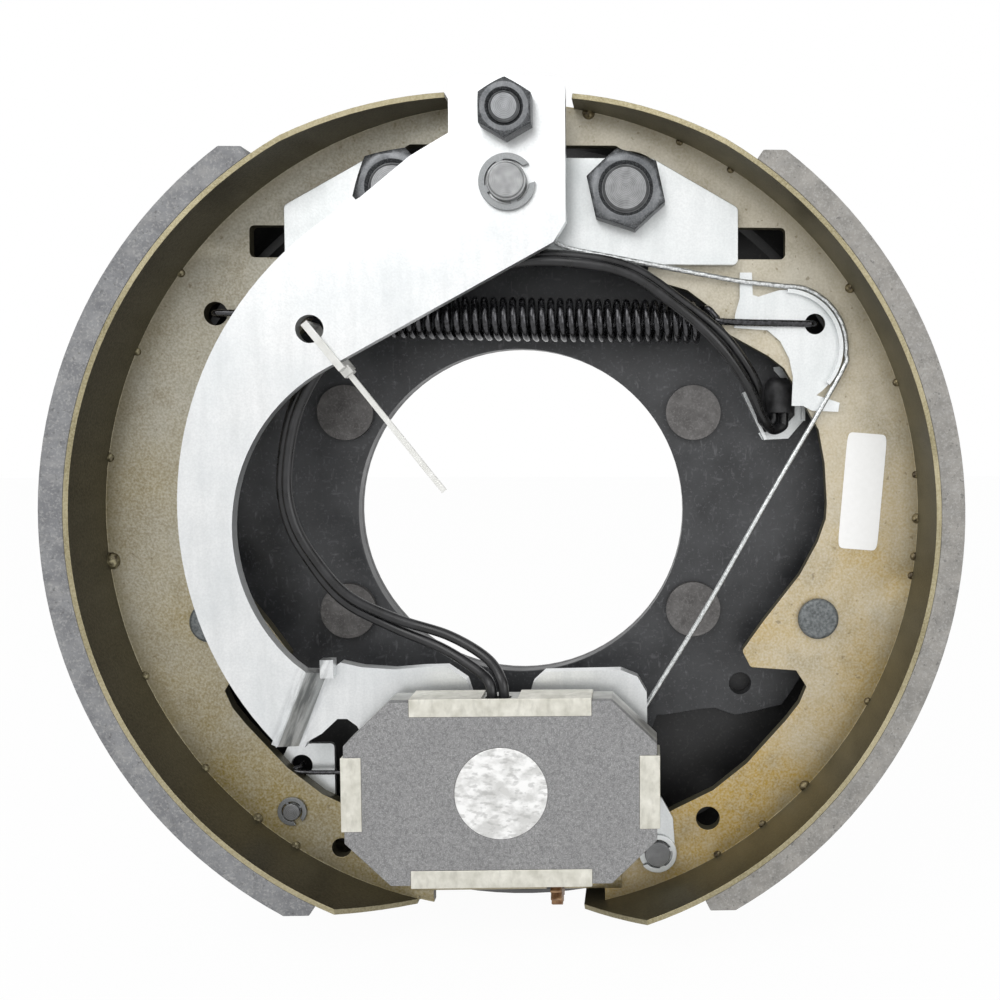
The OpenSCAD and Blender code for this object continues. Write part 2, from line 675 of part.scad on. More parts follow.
// End of the retractor spring: up from the coil at x, along in front of the web, into the hole
function retractor_end(s, x, z, hole) = [[s * (x + 2), retract_y - 3, z + 4.5],
    [s * (x + 5), hook_wire_y + 1, z + 1.5], [s * (x + 8), hook_wire_y, z],
    [hole[0] - s * 5, hook_wire_y, hole[1]], [hole[0] - s * 1.5, hook_wire_y + 0.4, hole[1]],
    [hole[0], hook_wire_y + 2.4, hole[1]], [hole[0], web_back - 0.6, hole[1]]];
// Long close-wound spring that pulls the two webs together, hooked into their holes
module retractor_spring() color("#242425") {
    x0 = -61.5;
    x1 = 65;
    slope = (spring_right[1] - spring_left[1]) / (spring_right[0] - spring_left[0]);
    mid_z = spring_right[1] - slope * spring_right[0];
    left = retractor_end(-1, -x0, mid_z + slope * x0, spring_left);
    turns = [for (p = coil(x0, x1, [retract_y, mid_z], coil_r - wire_r, coil_turns, 8))
        p + [0, 0, slope * p[0]]];
    tube(concat([for (i = [6:-1:0]) left[i]], turns,
        retractor_end(1, x1, mid_z + slope * x1, spring_right)), wire_r, 6);
}

low_y = web_front + 1.8;
module lower_spring() color("#242425") {
    r = 3.4;
    w = 0.8;
    x0 = -30;
    x1 = 4;
    z = plate_hole[1] - 1.5;
    helix = coil(x0, x1, [low_y, z], r, 12, 8);
    tube(concat([[plate_hole[0], web_back + plate_t + 1, plate_hole[1]],
        [plate_hole[0], web_back - 0.5, plate_hole[1]], [plate_hole[0] + 1.5, low_y, z],
        [x0 - 3, low_y, z], [x0 - 1, low_y + r * 0.7, z]], helix,
        [[x1 + 2, low_y + r * 0.6, z], [x1 + 5, low_y, z], [lever_hook[0] - 7, low_y, z],
        [lever_hook[0] - 5.2, low_y - 1, z], [lever_hook[0] - 5, lever_front - 0.6, z]]), w, 6);
}

// Adjuster

fork_x = low_end_x - run_gap;
fork_end_x = low_end_x + 6;
fork_w = web_t + 2 * seat_gap;
module barrel(x0, x1, r) {
    translate([x0, web_mid, adjuster_z]) rotate([0, 90, 0]) cylinder(h = x1 - x0, r = r);
}

star_x = 11.8;
star_t = 3.8;
screw_end_x = -14;
// Barrel with the female thread, forked at its end to hold the left-hand web
module adjuster_nut() color("#8f7d55") difference() {
    barrel(-fork_end_x, star_x - 2, barrel_r);
    barrel(-22, star_x, screw_r + shaft_gap);
    translate([-fork_end_x - 1, web_mid - fork_w / 2, adjuster_z - barrel_r - 1])
        cube([fork_end_x + 1 - fork_x, fork_w, 2 * barrel_r + 2]);
}

// Screw with its star wheel in one piece
module adjuster_screw() color("#8a6a48") {
    root = star_r - 3.2;
    teeth = [for (i = [0:star_teeth - 1], k = [0:3])
        let (a = (i + [0, 0.22, 0.5, 0.72][k]) * 360 / star_teeth)
        (k < 2 ? star_r : root) * [cos(a), sin(a)]];
    translate([star_x, web_mid, adjuster_z]) rotate([0, 90, 0]) linear_extrude(star_t)
        polygon(teeth);
    barrel(star_x - 1, star_x, 7);
    barrel(screw_end_x, star_x + star_t + 10, screw_r);
}

module adjuster_socket() color("#8f7d55") difference() {
    barrel(star_x + star_t + 0.6, fork_end_x, barrel_r);
    barrel(star_x, star_x + star_t + 10.6, screw_r + shaft_gap);
    translate([fork_x, web_mid - fork_w / 2, adjuster_z - barrel_r - 1])
        cube([fork_end_x, fork_w, 2 * barrel_r + 2]);
}

// Stamped lever on the right-hand shoe that turns the star wheel when the cable lifts it
module adjuster_lever() color("#e3e5e5") difference() {
    plate(lever_back, plate_t) {
        circle_at(right_pin, right_pin_r + 2.1);
        rounded(1.5) polygon([[55.6, -119], [54.8, -108], [51, -101],
            [lever_hook[0] + 4, lever_hook[1] + 5], [lever_hook[0] - 10, lever_hook[1] + 5],
            [lever_hook[0] - 10, lever_hook[1] - 5], [38, -104], [41, -109],
            [14.5, adjuster_z + star_r + 3.2], [13, adjuster_z + star_r + 0.7],
            [36, adjuster_z + 9.2], [46, adjuster_z + 2.4]]);
    }
    bar(right_pin, lever_back + cut, plate_t + 2 * cut, right_pin_r + shaft_gap);
    bar(lever_hook, lever_back + cut, plate_t + 2 * cut, 2);
    bar([lever_hook[0] - 5, plate_hole[1] - 1.5], lever_back + cut, plate_t + 2 * cut, 1.6);
}

// Cable

guide_c = [94, 58.6];
guide_r = 20;
// Pressed plate on the right-hand web that leads the cable round in a rim groove
module cable_guide() color("#f0f0ee") difference() {
    union() {
        plate(web_front, guide_t) polygon(concat([[78.2, 75.7], [78.2, 84.5], [82.4, 84.5],
            [82.7, 76.8], [84.7, 76.2]], arc(guide_c, guide_r, 96, -56, 20),
            [[113.4, 39.4], [112.9, 36.2], [103.7, 36.6], [100.5, 38.3], [96.5, 38.3], [96.9, 48.3],
            [95.6, 54.7], [92.4, 60.8], [87.9, 64.6], [76.3, 65.4], [76.6, 70]]));
        plate(web_front - guide_t, 2.2) polygon(concat(arc(guide_c, guide_r + 0.2, 88, -40, 24),
            arc(guide_c, guide_r - 1.2, -40, 88, 24)));
    }
    bar(spring_right, web_front + cut, guide_t + 4, spring_hole_r - 0.4);
}

module circle_at(c, r) translate(c) circle(r = r);

cable_y = web_front - guide_t - cable_r - 0.2;
eye_mid = anchor_front - eye_t / 2 - 0.1;
eye_r = pivot_r + 3.6;
sleeve_end = [14.4, pivot_z - 17.2];
// Loop on the post, closed by a crimped sleeve
module cable_eye() color("#b9bbbb") {
    d = unit(sleeve_end - [0, pivot_z]);
    root = [0, pivot_z] + d * (eye_r - 1.2);
    difference() {
        bar([0, pivot_z], anchor_front - 0.1, eye_t, eye_r);
        bar([0, pivot_z], anchor_front + cut, eye_t + 2 * cut, pivot_r);
    }
    bar_between([root[0], eye_mid, root[1]], [sleeve_end[0], eye_mid, sleeve_end[1]], 1.5);
}

module bar_between(a, b, r) {
    d = b - a;
    translate(a) rotate([0, acos(d[2] / norm(d)), atan2(d[1], d[0])]) cylinder(h = norm(d), r = r);
}

hook_y = lever_front - cable_r - 0.3;
groove_r = guide_r + 0.2 + cable_r + 0.3;
sleeve_way = unit(sleeve_end - [0, pivot_z]);
cable_start = sleeve_end + seat_gap * sleeve_way;
cable_path = concat([[cable_start[0], eye_mid, cable_start[1]], [19.5, eye_mid, 91.8],
    [36, eye_mid, 88.6], [49, eye_mid + 0.1, 86.2], [57, eye_mid + 0.7, 84.8],
    [66, cable_y - 1.6, 83.3], [78, cable_y - 0.2, 81.4]],
    [for (a = [95, 70, 45, 20, -5, -28])
        [guide_c[0] + groove_r * cos(a), cable_y, guide_c[1] + groove_r * sin(a)]],
    [[90, cable_y + 0.6, 8.6], [66, cable_y + 1, -34], [46, cable_y + 1.1, -66.5],
    [37.8, hook_y, -79], [lever_hook[0] + 1, hook_y, lever_hook[1] + 8 + seat_gap]]);
module adjuster_cable() color("#cfd1d1") tube(smooth(cable_path, 4), cable_r, 8);

// Hook crimped on the cable's lower end, through the lever's hole
module cable_hook() color("#b4b6b6") {
    bar_between([lever_hook[0] + 1, hook_y, lever_hook[1] + 8],
        [lever_hook[0], hook_y, lever_hook[1]], cable_r + 0.25);
    bar(lever_hook, lever_back + 0.6, plate_t + 1.6, 1.4);
}

// Lead

// The two wires of the lead run side by side from the magnet to the boot
wire_y = arm_back + lead_r + 0.7;
under_y = wire_y + 2.6;
over_y = wire_y - 1;
lead_long = [[-2, magnet_back - 7.7, magnet_z + 29], [-2.8, magnet_back - 7.5, magnet_z + 36.3],
    [-8.5, -43.5, -46.8], [-22, -38.5, -40], [-40, wire_y + 0.2, -34.5], [-56, wire_y, -26.5],
    [-67, wire_y, -14], [-74, wire_y, -1], [-76, wire_y, 14], [-72, wire_y, 36],
    [-61.5, wire_y, 54.5], [-45, wire_y, 71], [-22, wire_y, 82], [0, wire_y, 86], [17, over_y, 86.6],
    [38.5, over_y, 83], [56.4, over_y, 71.5], [70, -35.3, 59.6], [80.5, -29.4, 46], [86.4, -23, 35],
    [90.6, -18, 30], [94.6, -15.6, 31], [95.2, -15.2, 33.6], [95.2, -15.2, 35.7]];
lead_short = [[-6, magnet_back - 7.7, magnet_z + 29], [-6.6, magnet_back - 7.5, magnet_z + 35],
    [-11, -44.5, -51.2], [-24, -38.5, -44.5], [-42, under_y - 0.6, -37.5], [-58.5, under_y, -28.5],
    [-69.5, under_y, -15], [-76.6, under_y, -1.5], [-78.6, under_y, 14.5], [-74.3, under_y, 37.5],
    [-63.4, under_y, 56.4], [-46.3, under_y, 73.2], [-22.5, under_y, 84.5], [0, under_y, 88.6],
    [17.5, over_y + 2.6, 89.1], [40, over_y + 2.6, 85.2], [58.3, over_y + 2.6, 73.3],
    [72.6, -32.6, 62], [83.2, -27, 48], [86, -19.8, 39.2], [87.2, -16.5, 33.6],
    [89.8, -13.4, 31.4], [91.6, -13, 33.4], [91.6, -13, 35.7]];
module lead_wire_long() color("#161617") tube(smooth(lead_long, 3), lead_r, 8);
module lead_wire_short() color("#161617") tube(smooth(lead_short, 3), lead_r, 8);

grommet_neck_r = 3.2;
boot_r = 5.3;
boot_y = carrier_front - boot_r - 0.2;
// Rubber boot, bent over on the plate, that takes the lead through it
module grommet() color("#1b1b1c") {
    bar(grommet_at, 2, 2, grommet_neck_r + 1.8);
    bar(grommet_at, 0, 1 - boot_y, grommet_neck_r);
    translate([grommet_at[0], boot_y, grommet_at[1] - 5.5]) rotate([0, 0, 40]) rotate_extrude()
        polygon([[0, 0], [boot_r, 0], [boot_r, 9.2], [boot_r - 0.8, 11],
            [boot_r - 2.4, 12.4], [0, 12.4]]);
}

clip_wall = 1.2;
clip_tall = 6;
// Folded sheet clip that holds the lead against the boot
module lead_clip() color("#c9cbcb") {
    left = [80.2, 43];
    foot = [88.2, 26];
    run = foot - left;
    translate([left[0], carrier_front, left[1]]) rotate([0, -atan2(run[1], run[0]), 0])
        translate([0, -clip_tall, 0]) cube([norm(run), clip_tall, clip_wall]);
    plate(carrier_front, clip_wall) polygon([[86.5, 28.5], [88, 26], [97.5, 26.5], [103, 33], [103, 43],
        [94.5, 52.8], [92, 52.5], [92.2, 51.2], [99.8, 43], [99.8, 35], [95, 29.8]]);
    plate(carrier_front, clip_tall) polygon([[101.8, 33], [103, 33], [103, 40], [101.8, 40]]);
}

// Cable tie through the arm's hole, round the lead behind it, with its long tail left on
module cable_tie() color("#f4f4f2") {
    inner_edge = [-56.1, 51.8];
    tail_end = [-22.7, 9.4];
    run = inner_edge - arm_hole;
    len = norm(run);
    strap_t = 1;
    loop_back = arm_back + 4 * lead_r + 1;
    translate([arm_hole[0], 0, arm_hole[1]]) rotate([0, -atan2(run[1], run[0]), 0]) {
        difference() {
            translate([-1.5 - strap_t, arm_front - seat_gap - strap_t, -tie_w / 2])
                cube([len + 3.5 + strap_t, loop_back - arm_front + 2 * strap_t + seat_gap, tie_w]);
            translate([-1.5, arm_front - seat_gap, -tie_w / 2 - cut])
                cube([len + 2.5, loop_back - arm_front + seat_gap, tie_w + 2 * cut]);
        }
        translate([len + 1.2, arm_back - 2.2, -1.8]) cube([3, 4.6, 3.6]);
    }
    d = tail_end - inner_edge;
    translate([inner_edge[0], arm_back - 0.6, inner_edge[1]]) rotate([0, -atan2(d[1], d[0]), 0])
        translate([2.5, 0, -0.95]) cube([norm(d) - 2.5, 1.1, 1.9]);
}

backing_plate();
carrier_plate();
mounting_studs();
anchor_studs();
anchor_nuts();
anchor_plate();
pivot_post();
pivot_clip();
actuating_arm();
cam_bolt();
cam_nut();
cam_bush();
primary_shoe();
primary_lining();
secondary_shoe();
secondary_lining();
hold_down_pins();
primary_pin();
primary_pin_clip();
lever_pin();
lever_pin_clip();
magnet_housing();
magnet_face();
magnet_clamps();
magnet_core();
magnet_coil();
magnet_post();
magnet_spring();
retractor_spring();
lower_spring();
spring_plate();
adjuster_nut();
adjuster_screw();
adjuster_socket();
adjuster_lever();
cable_guide();
cable_eye();
adjuster_cable();
cable_hook();
lead_wire_long();
lead_wire_short();
grommet();
lead_clip();
cable_tie();
label();
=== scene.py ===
import math

import bmesh
import bpy
import numpy as np
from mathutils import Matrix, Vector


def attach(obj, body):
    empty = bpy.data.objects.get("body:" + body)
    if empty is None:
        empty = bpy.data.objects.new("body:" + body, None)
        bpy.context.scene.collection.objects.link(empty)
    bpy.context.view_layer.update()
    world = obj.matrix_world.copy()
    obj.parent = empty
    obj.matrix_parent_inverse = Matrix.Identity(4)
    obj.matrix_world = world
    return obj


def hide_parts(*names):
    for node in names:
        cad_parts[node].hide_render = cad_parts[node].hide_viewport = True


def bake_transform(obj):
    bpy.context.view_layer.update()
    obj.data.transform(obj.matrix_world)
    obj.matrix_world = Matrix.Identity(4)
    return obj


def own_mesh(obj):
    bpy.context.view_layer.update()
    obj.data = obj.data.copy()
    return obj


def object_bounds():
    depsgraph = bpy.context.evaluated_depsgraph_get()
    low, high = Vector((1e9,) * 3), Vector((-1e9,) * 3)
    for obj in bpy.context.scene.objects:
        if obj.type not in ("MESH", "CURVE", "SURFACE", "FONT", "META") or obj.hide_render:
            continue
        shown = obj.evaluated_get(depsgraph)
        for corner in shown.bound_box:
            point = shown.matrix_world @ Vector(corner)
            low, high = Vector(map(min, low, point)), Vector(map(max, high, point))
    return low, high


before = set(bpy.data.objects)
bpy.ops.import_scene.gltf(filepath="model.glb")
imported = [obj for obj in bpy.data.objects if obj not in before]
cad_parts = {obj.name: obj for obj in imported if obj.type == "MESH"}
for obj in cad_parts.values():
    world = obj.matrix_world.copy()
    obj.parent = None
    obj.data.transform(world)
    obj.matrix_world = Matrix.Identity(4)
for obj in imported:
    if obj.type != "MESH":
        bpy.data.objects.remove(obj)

cad_box = [[float(v) for v in corner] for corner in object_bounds()]

# Camera: square to the brake's open side, a little right of the hub and level with it, close enough
# for the shoes' inner faces to show. The brake fills the frame as one object.
PHOTO_ZOOM = 1.75
PHOTO_FOCAL_PX = 673
FRAME_PX = 1000
SENSOR_MM = 36
camera_data = bpy.data.cameras.new("studio_camera")
camera_data.sensor_width = SENSOR_MM
camera_data.lens = SENSOR_MM * PHOTO_FOCAL_PX * PHOTO_ZOOM / FRAME_PX
camera_data.shift_x = -0.183
camera_data.shift_y = -0.015
camera_data.clip_start = 0.01
camera = bpy.data.objects.new("studio_camera", camera_data)
camera.location = (0.0455, -0.4391, 0.0356)
camera.rotation_euler = (math.radians(90 - 3.47), 0, math.radians(-1.8))
bpy.context.scene.collection.objects.link(camera)
bpy.context.scene.camera = camera


# Studio: a white room seen by the camera and by every gloss, with soft light from the front.
# The light on the object stays at a plain level, so a colour renders about as it is written.
def linear(code):
    """Turns an sRGB hex colour into the linear colour that a shader takes."""
    s = np.array([int(code[i:i + 2], 16) for i in (1, 3, 5)]) / 255
    value = np.where(s <= 0.04045, s / 12.92, ((s + 0.055) / 1.055) ** 2.4)
    return (float(value[0]), float(value[1]), float(value[2]), 1.0)


def add(tree, kind, sockets=None, **settings):
    """Adds one shader node, with its settings, and with each socket set to a value or linked."""
    made = tree.nodes.new(kind)
    for name, value in settings.items():
        setattr(made, name, value)
    for name, value in (sockets or {}).items():
        if isinstance(value, bpy.types.NodeSocket):
            tree.links.new(value, made.inputs[name])
        else:
            made.inputs[name].default_value = value
    return made


def seen_ray(tree):
    """1 for a ray from the camera or off a gloss or through a clear piece, and 0 for the rest."""
    path = add(tree, "ShaderNodeLightPath")
    gloss = add(tree, "ShaderNodeMath", {0: path.outputs["Is Camera Ray"], 1: path.outputs["Is Glossy Ray"]},
                operation="MAXIMUM")
    return add(tree, "ShaderNodeMath", {0: gloss.outputs[0], 1: path.outputs["Is Transmission Ray"]},
               operation="MAXIMUM").outputs[0]


world = bpy.data.worlds.new("white_room")
bpy.context.scene.world = world
world.use_nodes = True
world.node_tree.nodes.clear()
room = add(world.node_tree, "ShaderNodeBackground", {"Color": linear("#ffffff"), "Strength": 0.62})
white = add(world.node_tree, "ShaderNodeBackground", {"Color": linear("#ffffff"), "Strength": 1.0})
room_mix = add(world.node_tree, "ShaderNodeMixShader",
               {0: seen_ray(world.node_tree), 1: room.outputs[0], 2: white.outputs[0]})
add(world.node_tree, "ShaderNodeOutputWorld", {"Surface": room_mix.outputs[0]})
for name, place, size, watts in (("key_lamp", (-0.45, -1.0, 0.8), 0.9, 7.3), ("fill_lamp", (0.8, -0.9, 0.1), 0.8, 4.0)):
    lamp_data = bpy.data.lights.new(name, "AREA")
    lamp_data.size = size
    lamp_data.energy = watts
    lamp = bpy.data.objects.new(name, lamp_data)
    lamp.location = place
    away = np.array(place) - np.array((0, -0.03, 0))
    lamp.rotation_euler = (math.acos(away[2] / np.linalg.norm(away)), 0, math.atan2(away[1], away[0]) + math.pi / 2)
    bpy.context.scene.collection.objects.link(lamp)

bpy.context.scene.view_settings.view_transform = "Standard"

# Floor: a plain white sheet under the brake's rim, with a faint shadow on it.
floor_mesh = bpy.data.meshes.new("floor")
FLOOR_HALF = 3.0
floor_z = cad_box[0][2] - 0.0005
floor_mesh.from_pydata([(-FLOOR_HALF, -FLOOR_HALF, floor_z), (FLOOR_HALF, -FLOOR_HALF, floor_z),
                        (FLOOR_HALF, FLOOR_HALF, floor_z), (-FLOOR_HALF, FLOOR_HALF, floor_z)], [], [(0, 1, 2, 3)])
floor = bpy.data.objects.new("floor", floor_mesh)
bpy.context.scene.collection.objects.link(floor)
floor_paper = bpy.data.materials.new("white_paper_sweep")
floor_paper.use_nodes = True
tree = floor_paper.node_tree
tree.nodes.clear()
paper = add(tree, "ShaderNodeBsdfDiffuse", {"Color": linear("#fafafa")})
glow = add(tree, "ShaderNodeEmission", {"Color": linear("#ffffff"), "Strength": 1.0})
share = add(tree, "ShaderNodeMath", {0: seen_ray(tree), 1: 0.965}, operation="MULTIPLY")
sweep_mix = add(tree, "ShaderNodeMixShader", {0: share.outputs[0], 1: paper.outputs[0], 2: glow.outputs[0]})
add(tree, "ShaderNodeOutputMaterial", {"Surface": sweep_mix.outputs[0]})
floor_mesh.materials.append(floor_paper)


# Backing plate: a disc of pressed sheet steel with a stepped ring and a rolled rim, dipped in black
# paint. It hangs on the axle's flange by the four mounting studs. Satin paint gives a soft grey gloss.
def finish(name, base, metallic=0.0, roughness=0.5):
    """Starts a material and gives it, its tree, its shader and the object's own coordinates."""
    made = bpy.data.materials.new(name)
    made.use_nodes = True
    nodes = made.node_tree.nodes
    nodes.clear()
    shader = add(made.node_tree, "ShaderNodeBsdfPrincipled",
                 {"Base Color": linear(base), "Metallic": metallic, "Roughness": roughness})
    add(made.node_tree, "ShaderNodeOutputMaterial", {"Surface": shader.outputs[0]})
    place = add(made.node_tree, "ShaderNodeTexCoord")
    return made, made.node_tree, shader, place


def grain(tree, place, mm, detail=3.0, low=0.35, high=0.65, stretch=(1, 1, 1), turn=(0, 0, 0)):
    """A noise whose lumps are about mm across, cut to run from 0 at low to 1 at high."""
    mapped = add(tree, "ShaderNodeMapping", {"Vector": place, "Scale": stretch, "Rotation": turn})
    noise = add(tree, "ShaderNodeTexNoise",
                {"Vector": mapped.outputs[0], "Scale": 1000.0 / mm, "Detail": detail, "Roughness": 0.55})
    return add(tree, "ShaderNodeMapRange",
               {"Value": noise.outputs["Fac"], "From Min": low, "From Max": high}).outputs[0]


def blend(tree, amount, first, second, kind="MIX"):
    """Mixes two colours, each a hex code or a socket, by the amount."""
    made = add(tree, "ShaderNodeMix", {"Factor": amount}, data_type="RGBA", blend_type=kind)
    for slot, colour in ((6, first), (7, second)):
        if isinstance(colour, str):
            made.inputs[slot].default_value = linear(colour)
        else:
            tree.links.new(colour, made.inputs[slot])
    return made.outputs[2]


def bumped(tree, shader, height, mm, strength=0.5):
    """Raises the surface by the height pattern, mm deep at its most."""
    bump = add(tree, "ShaderNodeBump", {"Height": height, "Distance": mm / 1000, "Strength": strength})
    tree.links.new(bump.outputs[0], shader.inputs["Normal"])


def times(tree, first, second, kind="MULTIPLY"):
    """Joins two numbers or sockets by one sum."""
    return add(tree, "ShaderNodeMath", {0: first, 1: second}, operation=kind).outputs[0]


def wear(node, material):
    """Gives a CAD node its material."""
    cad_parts[node].data.materials.clear()
    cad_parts[node].data.materials.append(material)


def eased(node, body, material, width_mm, segments=2):
    """A copy of a CAD node with its sharp edges rounded to the width, which stands in its place."""
    mesh = bpy.data.meshes.new(node + "_eased")
    work = bmesh.new()
    work.from_mesh(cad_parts[node].data)
    bmesh.ops.remove_doubles(work, verts=work.verts, dist=1e-6)
    bmesh.ops.dissolve_limit(work, angle_limit=math.radians(0.5), verts=work.verts, edges=work.edges)
    work.to_mesh(mesh)
    work.free()
    mesh.polygons.foreach_set("use_smooth", np.ones(len(mesh.polygons), bool))
    mesh.set_sharp_from_angle(angle=math.radians(28))
    mesh.materials.clear()
    mesh.materials.append(material)
    made = bpy.data.objects.new(node + "_eased", mesh)
    bpy.context.scene.collection.objects.link(made)
    bevel = made.modifiers.new("eased_edges", "BEVEL")
    bevel.width = width_mm / 1000
    bevel.segments = segments
    bevel.limit_method = "ANGLE"
    bevel.angle_limit = math.radians(32)
    bevel.harden_normals = True
    bevel.use_clamp_overlap = True
    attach(made, body)
    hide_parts(node)
    return made


black_dip, tree, shader, place = finish("black_dip_paint", "#141415", 0.0, 0.42)
lumps = grain(tree, place.outputs["Object"], 9, 4, 0.3, 0.7)
dust = grain(tree, place.outputs["Object"], 1.1, 5, 0.56, 0.72)
tone = blend(tree, lumps, "#101011", "#1d1d1f")
tree.links.new(blend(tree, times(tree, dust, 0.35), tone, "#4a4846"), shader.inputs["Base Color"])
bumped(tree, shader, lumps, 0.15, 0.3)
wear("backing_plate", black_dip)

# Carrier plate: thick flame-cut steel plate, painted charcoal, that the anchor studs are pressed in.
# Handling leaves it with fine light scratches, dust and a duller mottle than the backing plate.
charcoal, tree, shader, place = finish("scuffed_charcoal_paint", "#323335", 0.0, 0.38)
mottle = grain(tree, place.outputs["Object"], 14, 5, 0.3, 0.72)
specks = grain(tree, place.outputs["Object"], 0.9, 4, 0.58, 0.7)
scratch = grain(tree, place.outputs["Object"], 1.6, 4, 0.62, 0.72, (1, 1, 0.3), (0, 0.7, 0))
cross = grain(tree, place.outputs["Object"], 2.2, 4, 0.62, 0.74, (0.35, 1, 1), (0, -0.5, 0))
tone = blend(tree, mottle, "#27282a", "#3f4042")
tone = blend(tree, times(tree, specks, 0.4), tone, "#66666a")
tone = blend(tree, times(tree, times(tree, scratch, cross, "MAXIMUM"), 0.3), tone, "#77777a")
tree.links.new(tone, shader.inputs["Base Color"])
tree.links.new(add(tree, "ShaderNodeMapRange", {"Value": mottle, "To Min": 0.3, "To Max": 0.5}).outputs[0],
               shader.inputs["Roughness"])
bumped(tree, shader, mottle, 0.2, 0.35)
eased("carrier_plate", "backing", charcoal, 0.5)

# Mounting studs and hold-down pins: forged carbon steel with flat round heads, pressed from the front.
# The heads are bare and have gone grey-brown with a thin oxide.
forged, tree, shader, place = finish("oxidised_forged_steel", "#5a5856", 0.55, 0.45)
cloud = grain(tree, place.outputs["Object"], 6, 5, 0.3, 0.7)
pits = grain(tree, place.outputs["Object"], 0.8, 3, 0.5, 0.66)
tone = blend(tree, cloud, "#4b4948", "#6c6a69")
tree.links.new(blend(tree, times(tree, pits, 0.3), tone, "#858382"), shader.inputs["Base Color"])
bumped(tree, shader, pits, 0.08, 0.4)
eased("mounting_studs", "backing", forged, 0.5)
pin_grey, tree, shader, place = finish("dull_grey_pin_steel", "#66696a", 0.4, 0.5)
pits = grain(tree, place.outputs["Object"], 1.0, 4, 0.35, 0.65)
tree.links.new(blend(tree, pits, "#55595a", "#7b7f80"), shader.inputs["Base Color"])
bumped(tree, shader, pits, 0.05, 0.4)
eased("hold_down_pins", "backing", pin_grey, 0.35)

# Anchor studs and nuts: machined steel with a dark phosphate coat. The nuts are torqued down on the
# anchor plate, and the studs' cut ends show finely turned rings and a dull shine.
phosphate, tree, shader, place = finish("dark_phosphate_coat", "#46484a", 0.6, 0.4)
cloud = grain(tree, place.outputs["Object"], 5, 5, 0.3, 0.7)
crystal = grain(tree, place.outputs["Object"], 0.5, 3, 0.45, 0.7)
# Painted light and shade: faces turned to the front are painted lighter, and the other faces darker.
facing = add(tree, "ShaderNodeSeparateXYZ", {0: place.outputs["Normal"]})
front = add(tree, "ShaderNodeMapRange",
            {"Value": times(tree, facing.outputs[1], -1.0), "From Min": 0.75, "From Max": 0.98}).outputs[0]
tone = blend(tree, front, blend(tree, cloud, "#2a2b2d", "#3d3f41"), blend(tree, cloud, "#55575a", "#77797b"))
tree.links.new(blend(tree, times(tree, crystal, 0.4), tone, "#8b8d90"), shader.inputs["Base Color"])
bumped(tree, shader, crystal, 0.05, 0.35)
eased("anchor_nuts", "backing", phosphate, 0.4)
eased("cam_nut", "arm", phosphate, 0.4)


def turned_end(name, centres, dark, light):
    """Steel whose end faces carry turned rings about each centre, given by its X and Z in metres."""
    made, tree, shader, place = finish(name, dark, 0.7, 0.34)
    axes = add(tree, "ShaderNodeSeparateXYZ", {0: place.outputs["Object"]})
    nearest = None
    for x, z in centres:
        across = times(tree, times(tree, axes.outputs[0], x, "SUBTRACT"), 2.0, "POWER")
        up = times(tree, times(tree, axes.outputs[2], z, "SUBTRACT"), 2.0, "POWER")
        apart = times(tree, times(tree, across, up, "ADD"), 0.5, "POWER")
        nearest = apart if nearest is None else times(tree, nearest, apart, "MINIMUM")
    # Turned rings are really about 0.15 mm apart; they are drawn at 0.55 mm so that they show.
    rings = times(tree, times(tree, nearest, 2 * math.pi / 0.00055), 0.0, "ADD")
    rings = times(tree, add(tree, "ShaderNodeMath", {0: rings}, operation="SINE").outputs[0], 0.5)
    ring = times(tree, rings, 0.5, "ADD")
    cloud = grain(tree, place.outputs["Object"], 3, 4, 0.3, 0.7)
    tone = blend(tree, cloud, dark, light)
    tree.links.new(blend(tree, times(tree, ring, 0.22), tone, "#c9cacb"), shader.inputs["Base Color"])
    bumped(tree, shader, ring, 0.03, 0.25)
    return made


cut_ends = turned_end("turned_stud_ends", [(-0.0389, 0.1111), (0.0389, 0.1111)], "#6a6b6c", "#8e8f90")
eased("anchor_studs", "backing", cut_ends, 0.5)
eased("cam_bolt", "arm", turned_end("turned_bolt_end", [(0, 0.1343)], "#5f6163", "#808284"), 0.5)
eased("pivot_post", "backing", turned_end("turned_post_end", [(0, 0.1116)], "#747576", "#9b9c9c"), 0.6)

# Anchor plate, arm, cable guide, lever and clips: steel sheet with bright zinc plate. Zinc straight
# from the barrel is near white, with a fine grain, soft clouds and pale blanked edges.
def bright_zinc(name, clean, cloudy, grain_mm=0.7):
    """Bright barrel zinc over rolled steel, clouded between two near-white greys."""
    made, tree, shader, place = finish(name, clean, 0.82, 0.36)
    clouds = grain(tree, place.outputs["Object"], 22, 4, 0.3, 0.72)
    fine = grain(tree, place.outputs["Object"], grain_mm, 3, 0.35, 0.65)
    rolled = grain(tree, place.outputs["Object"], 3.5, 3, 0.4, 0.75, (1, 1, 0.12), (0, 0.9, 0))
    tone = blend(tree, clouds, clean, cloudy)
    tone = blend(tree, times(tree, fine, 0.22), tone, "#b9bcbd")
    tone = blend(tree, times(tree, rolled, 0.16), tone, "#a8abac")
    tree.links.new(tone, shader.inputs["Base Color"])
    tree.links.new(add(tree, "ShaderNodeMapRange", {"Value": clouds, "To Min": 0.3, "To Max": 0.44}).outputs[0],
                   shader.inputs["Roughness"])
    bumped(tree, shader, fine, 0.03, 0.3)
    return made, tree, shader, place, tone


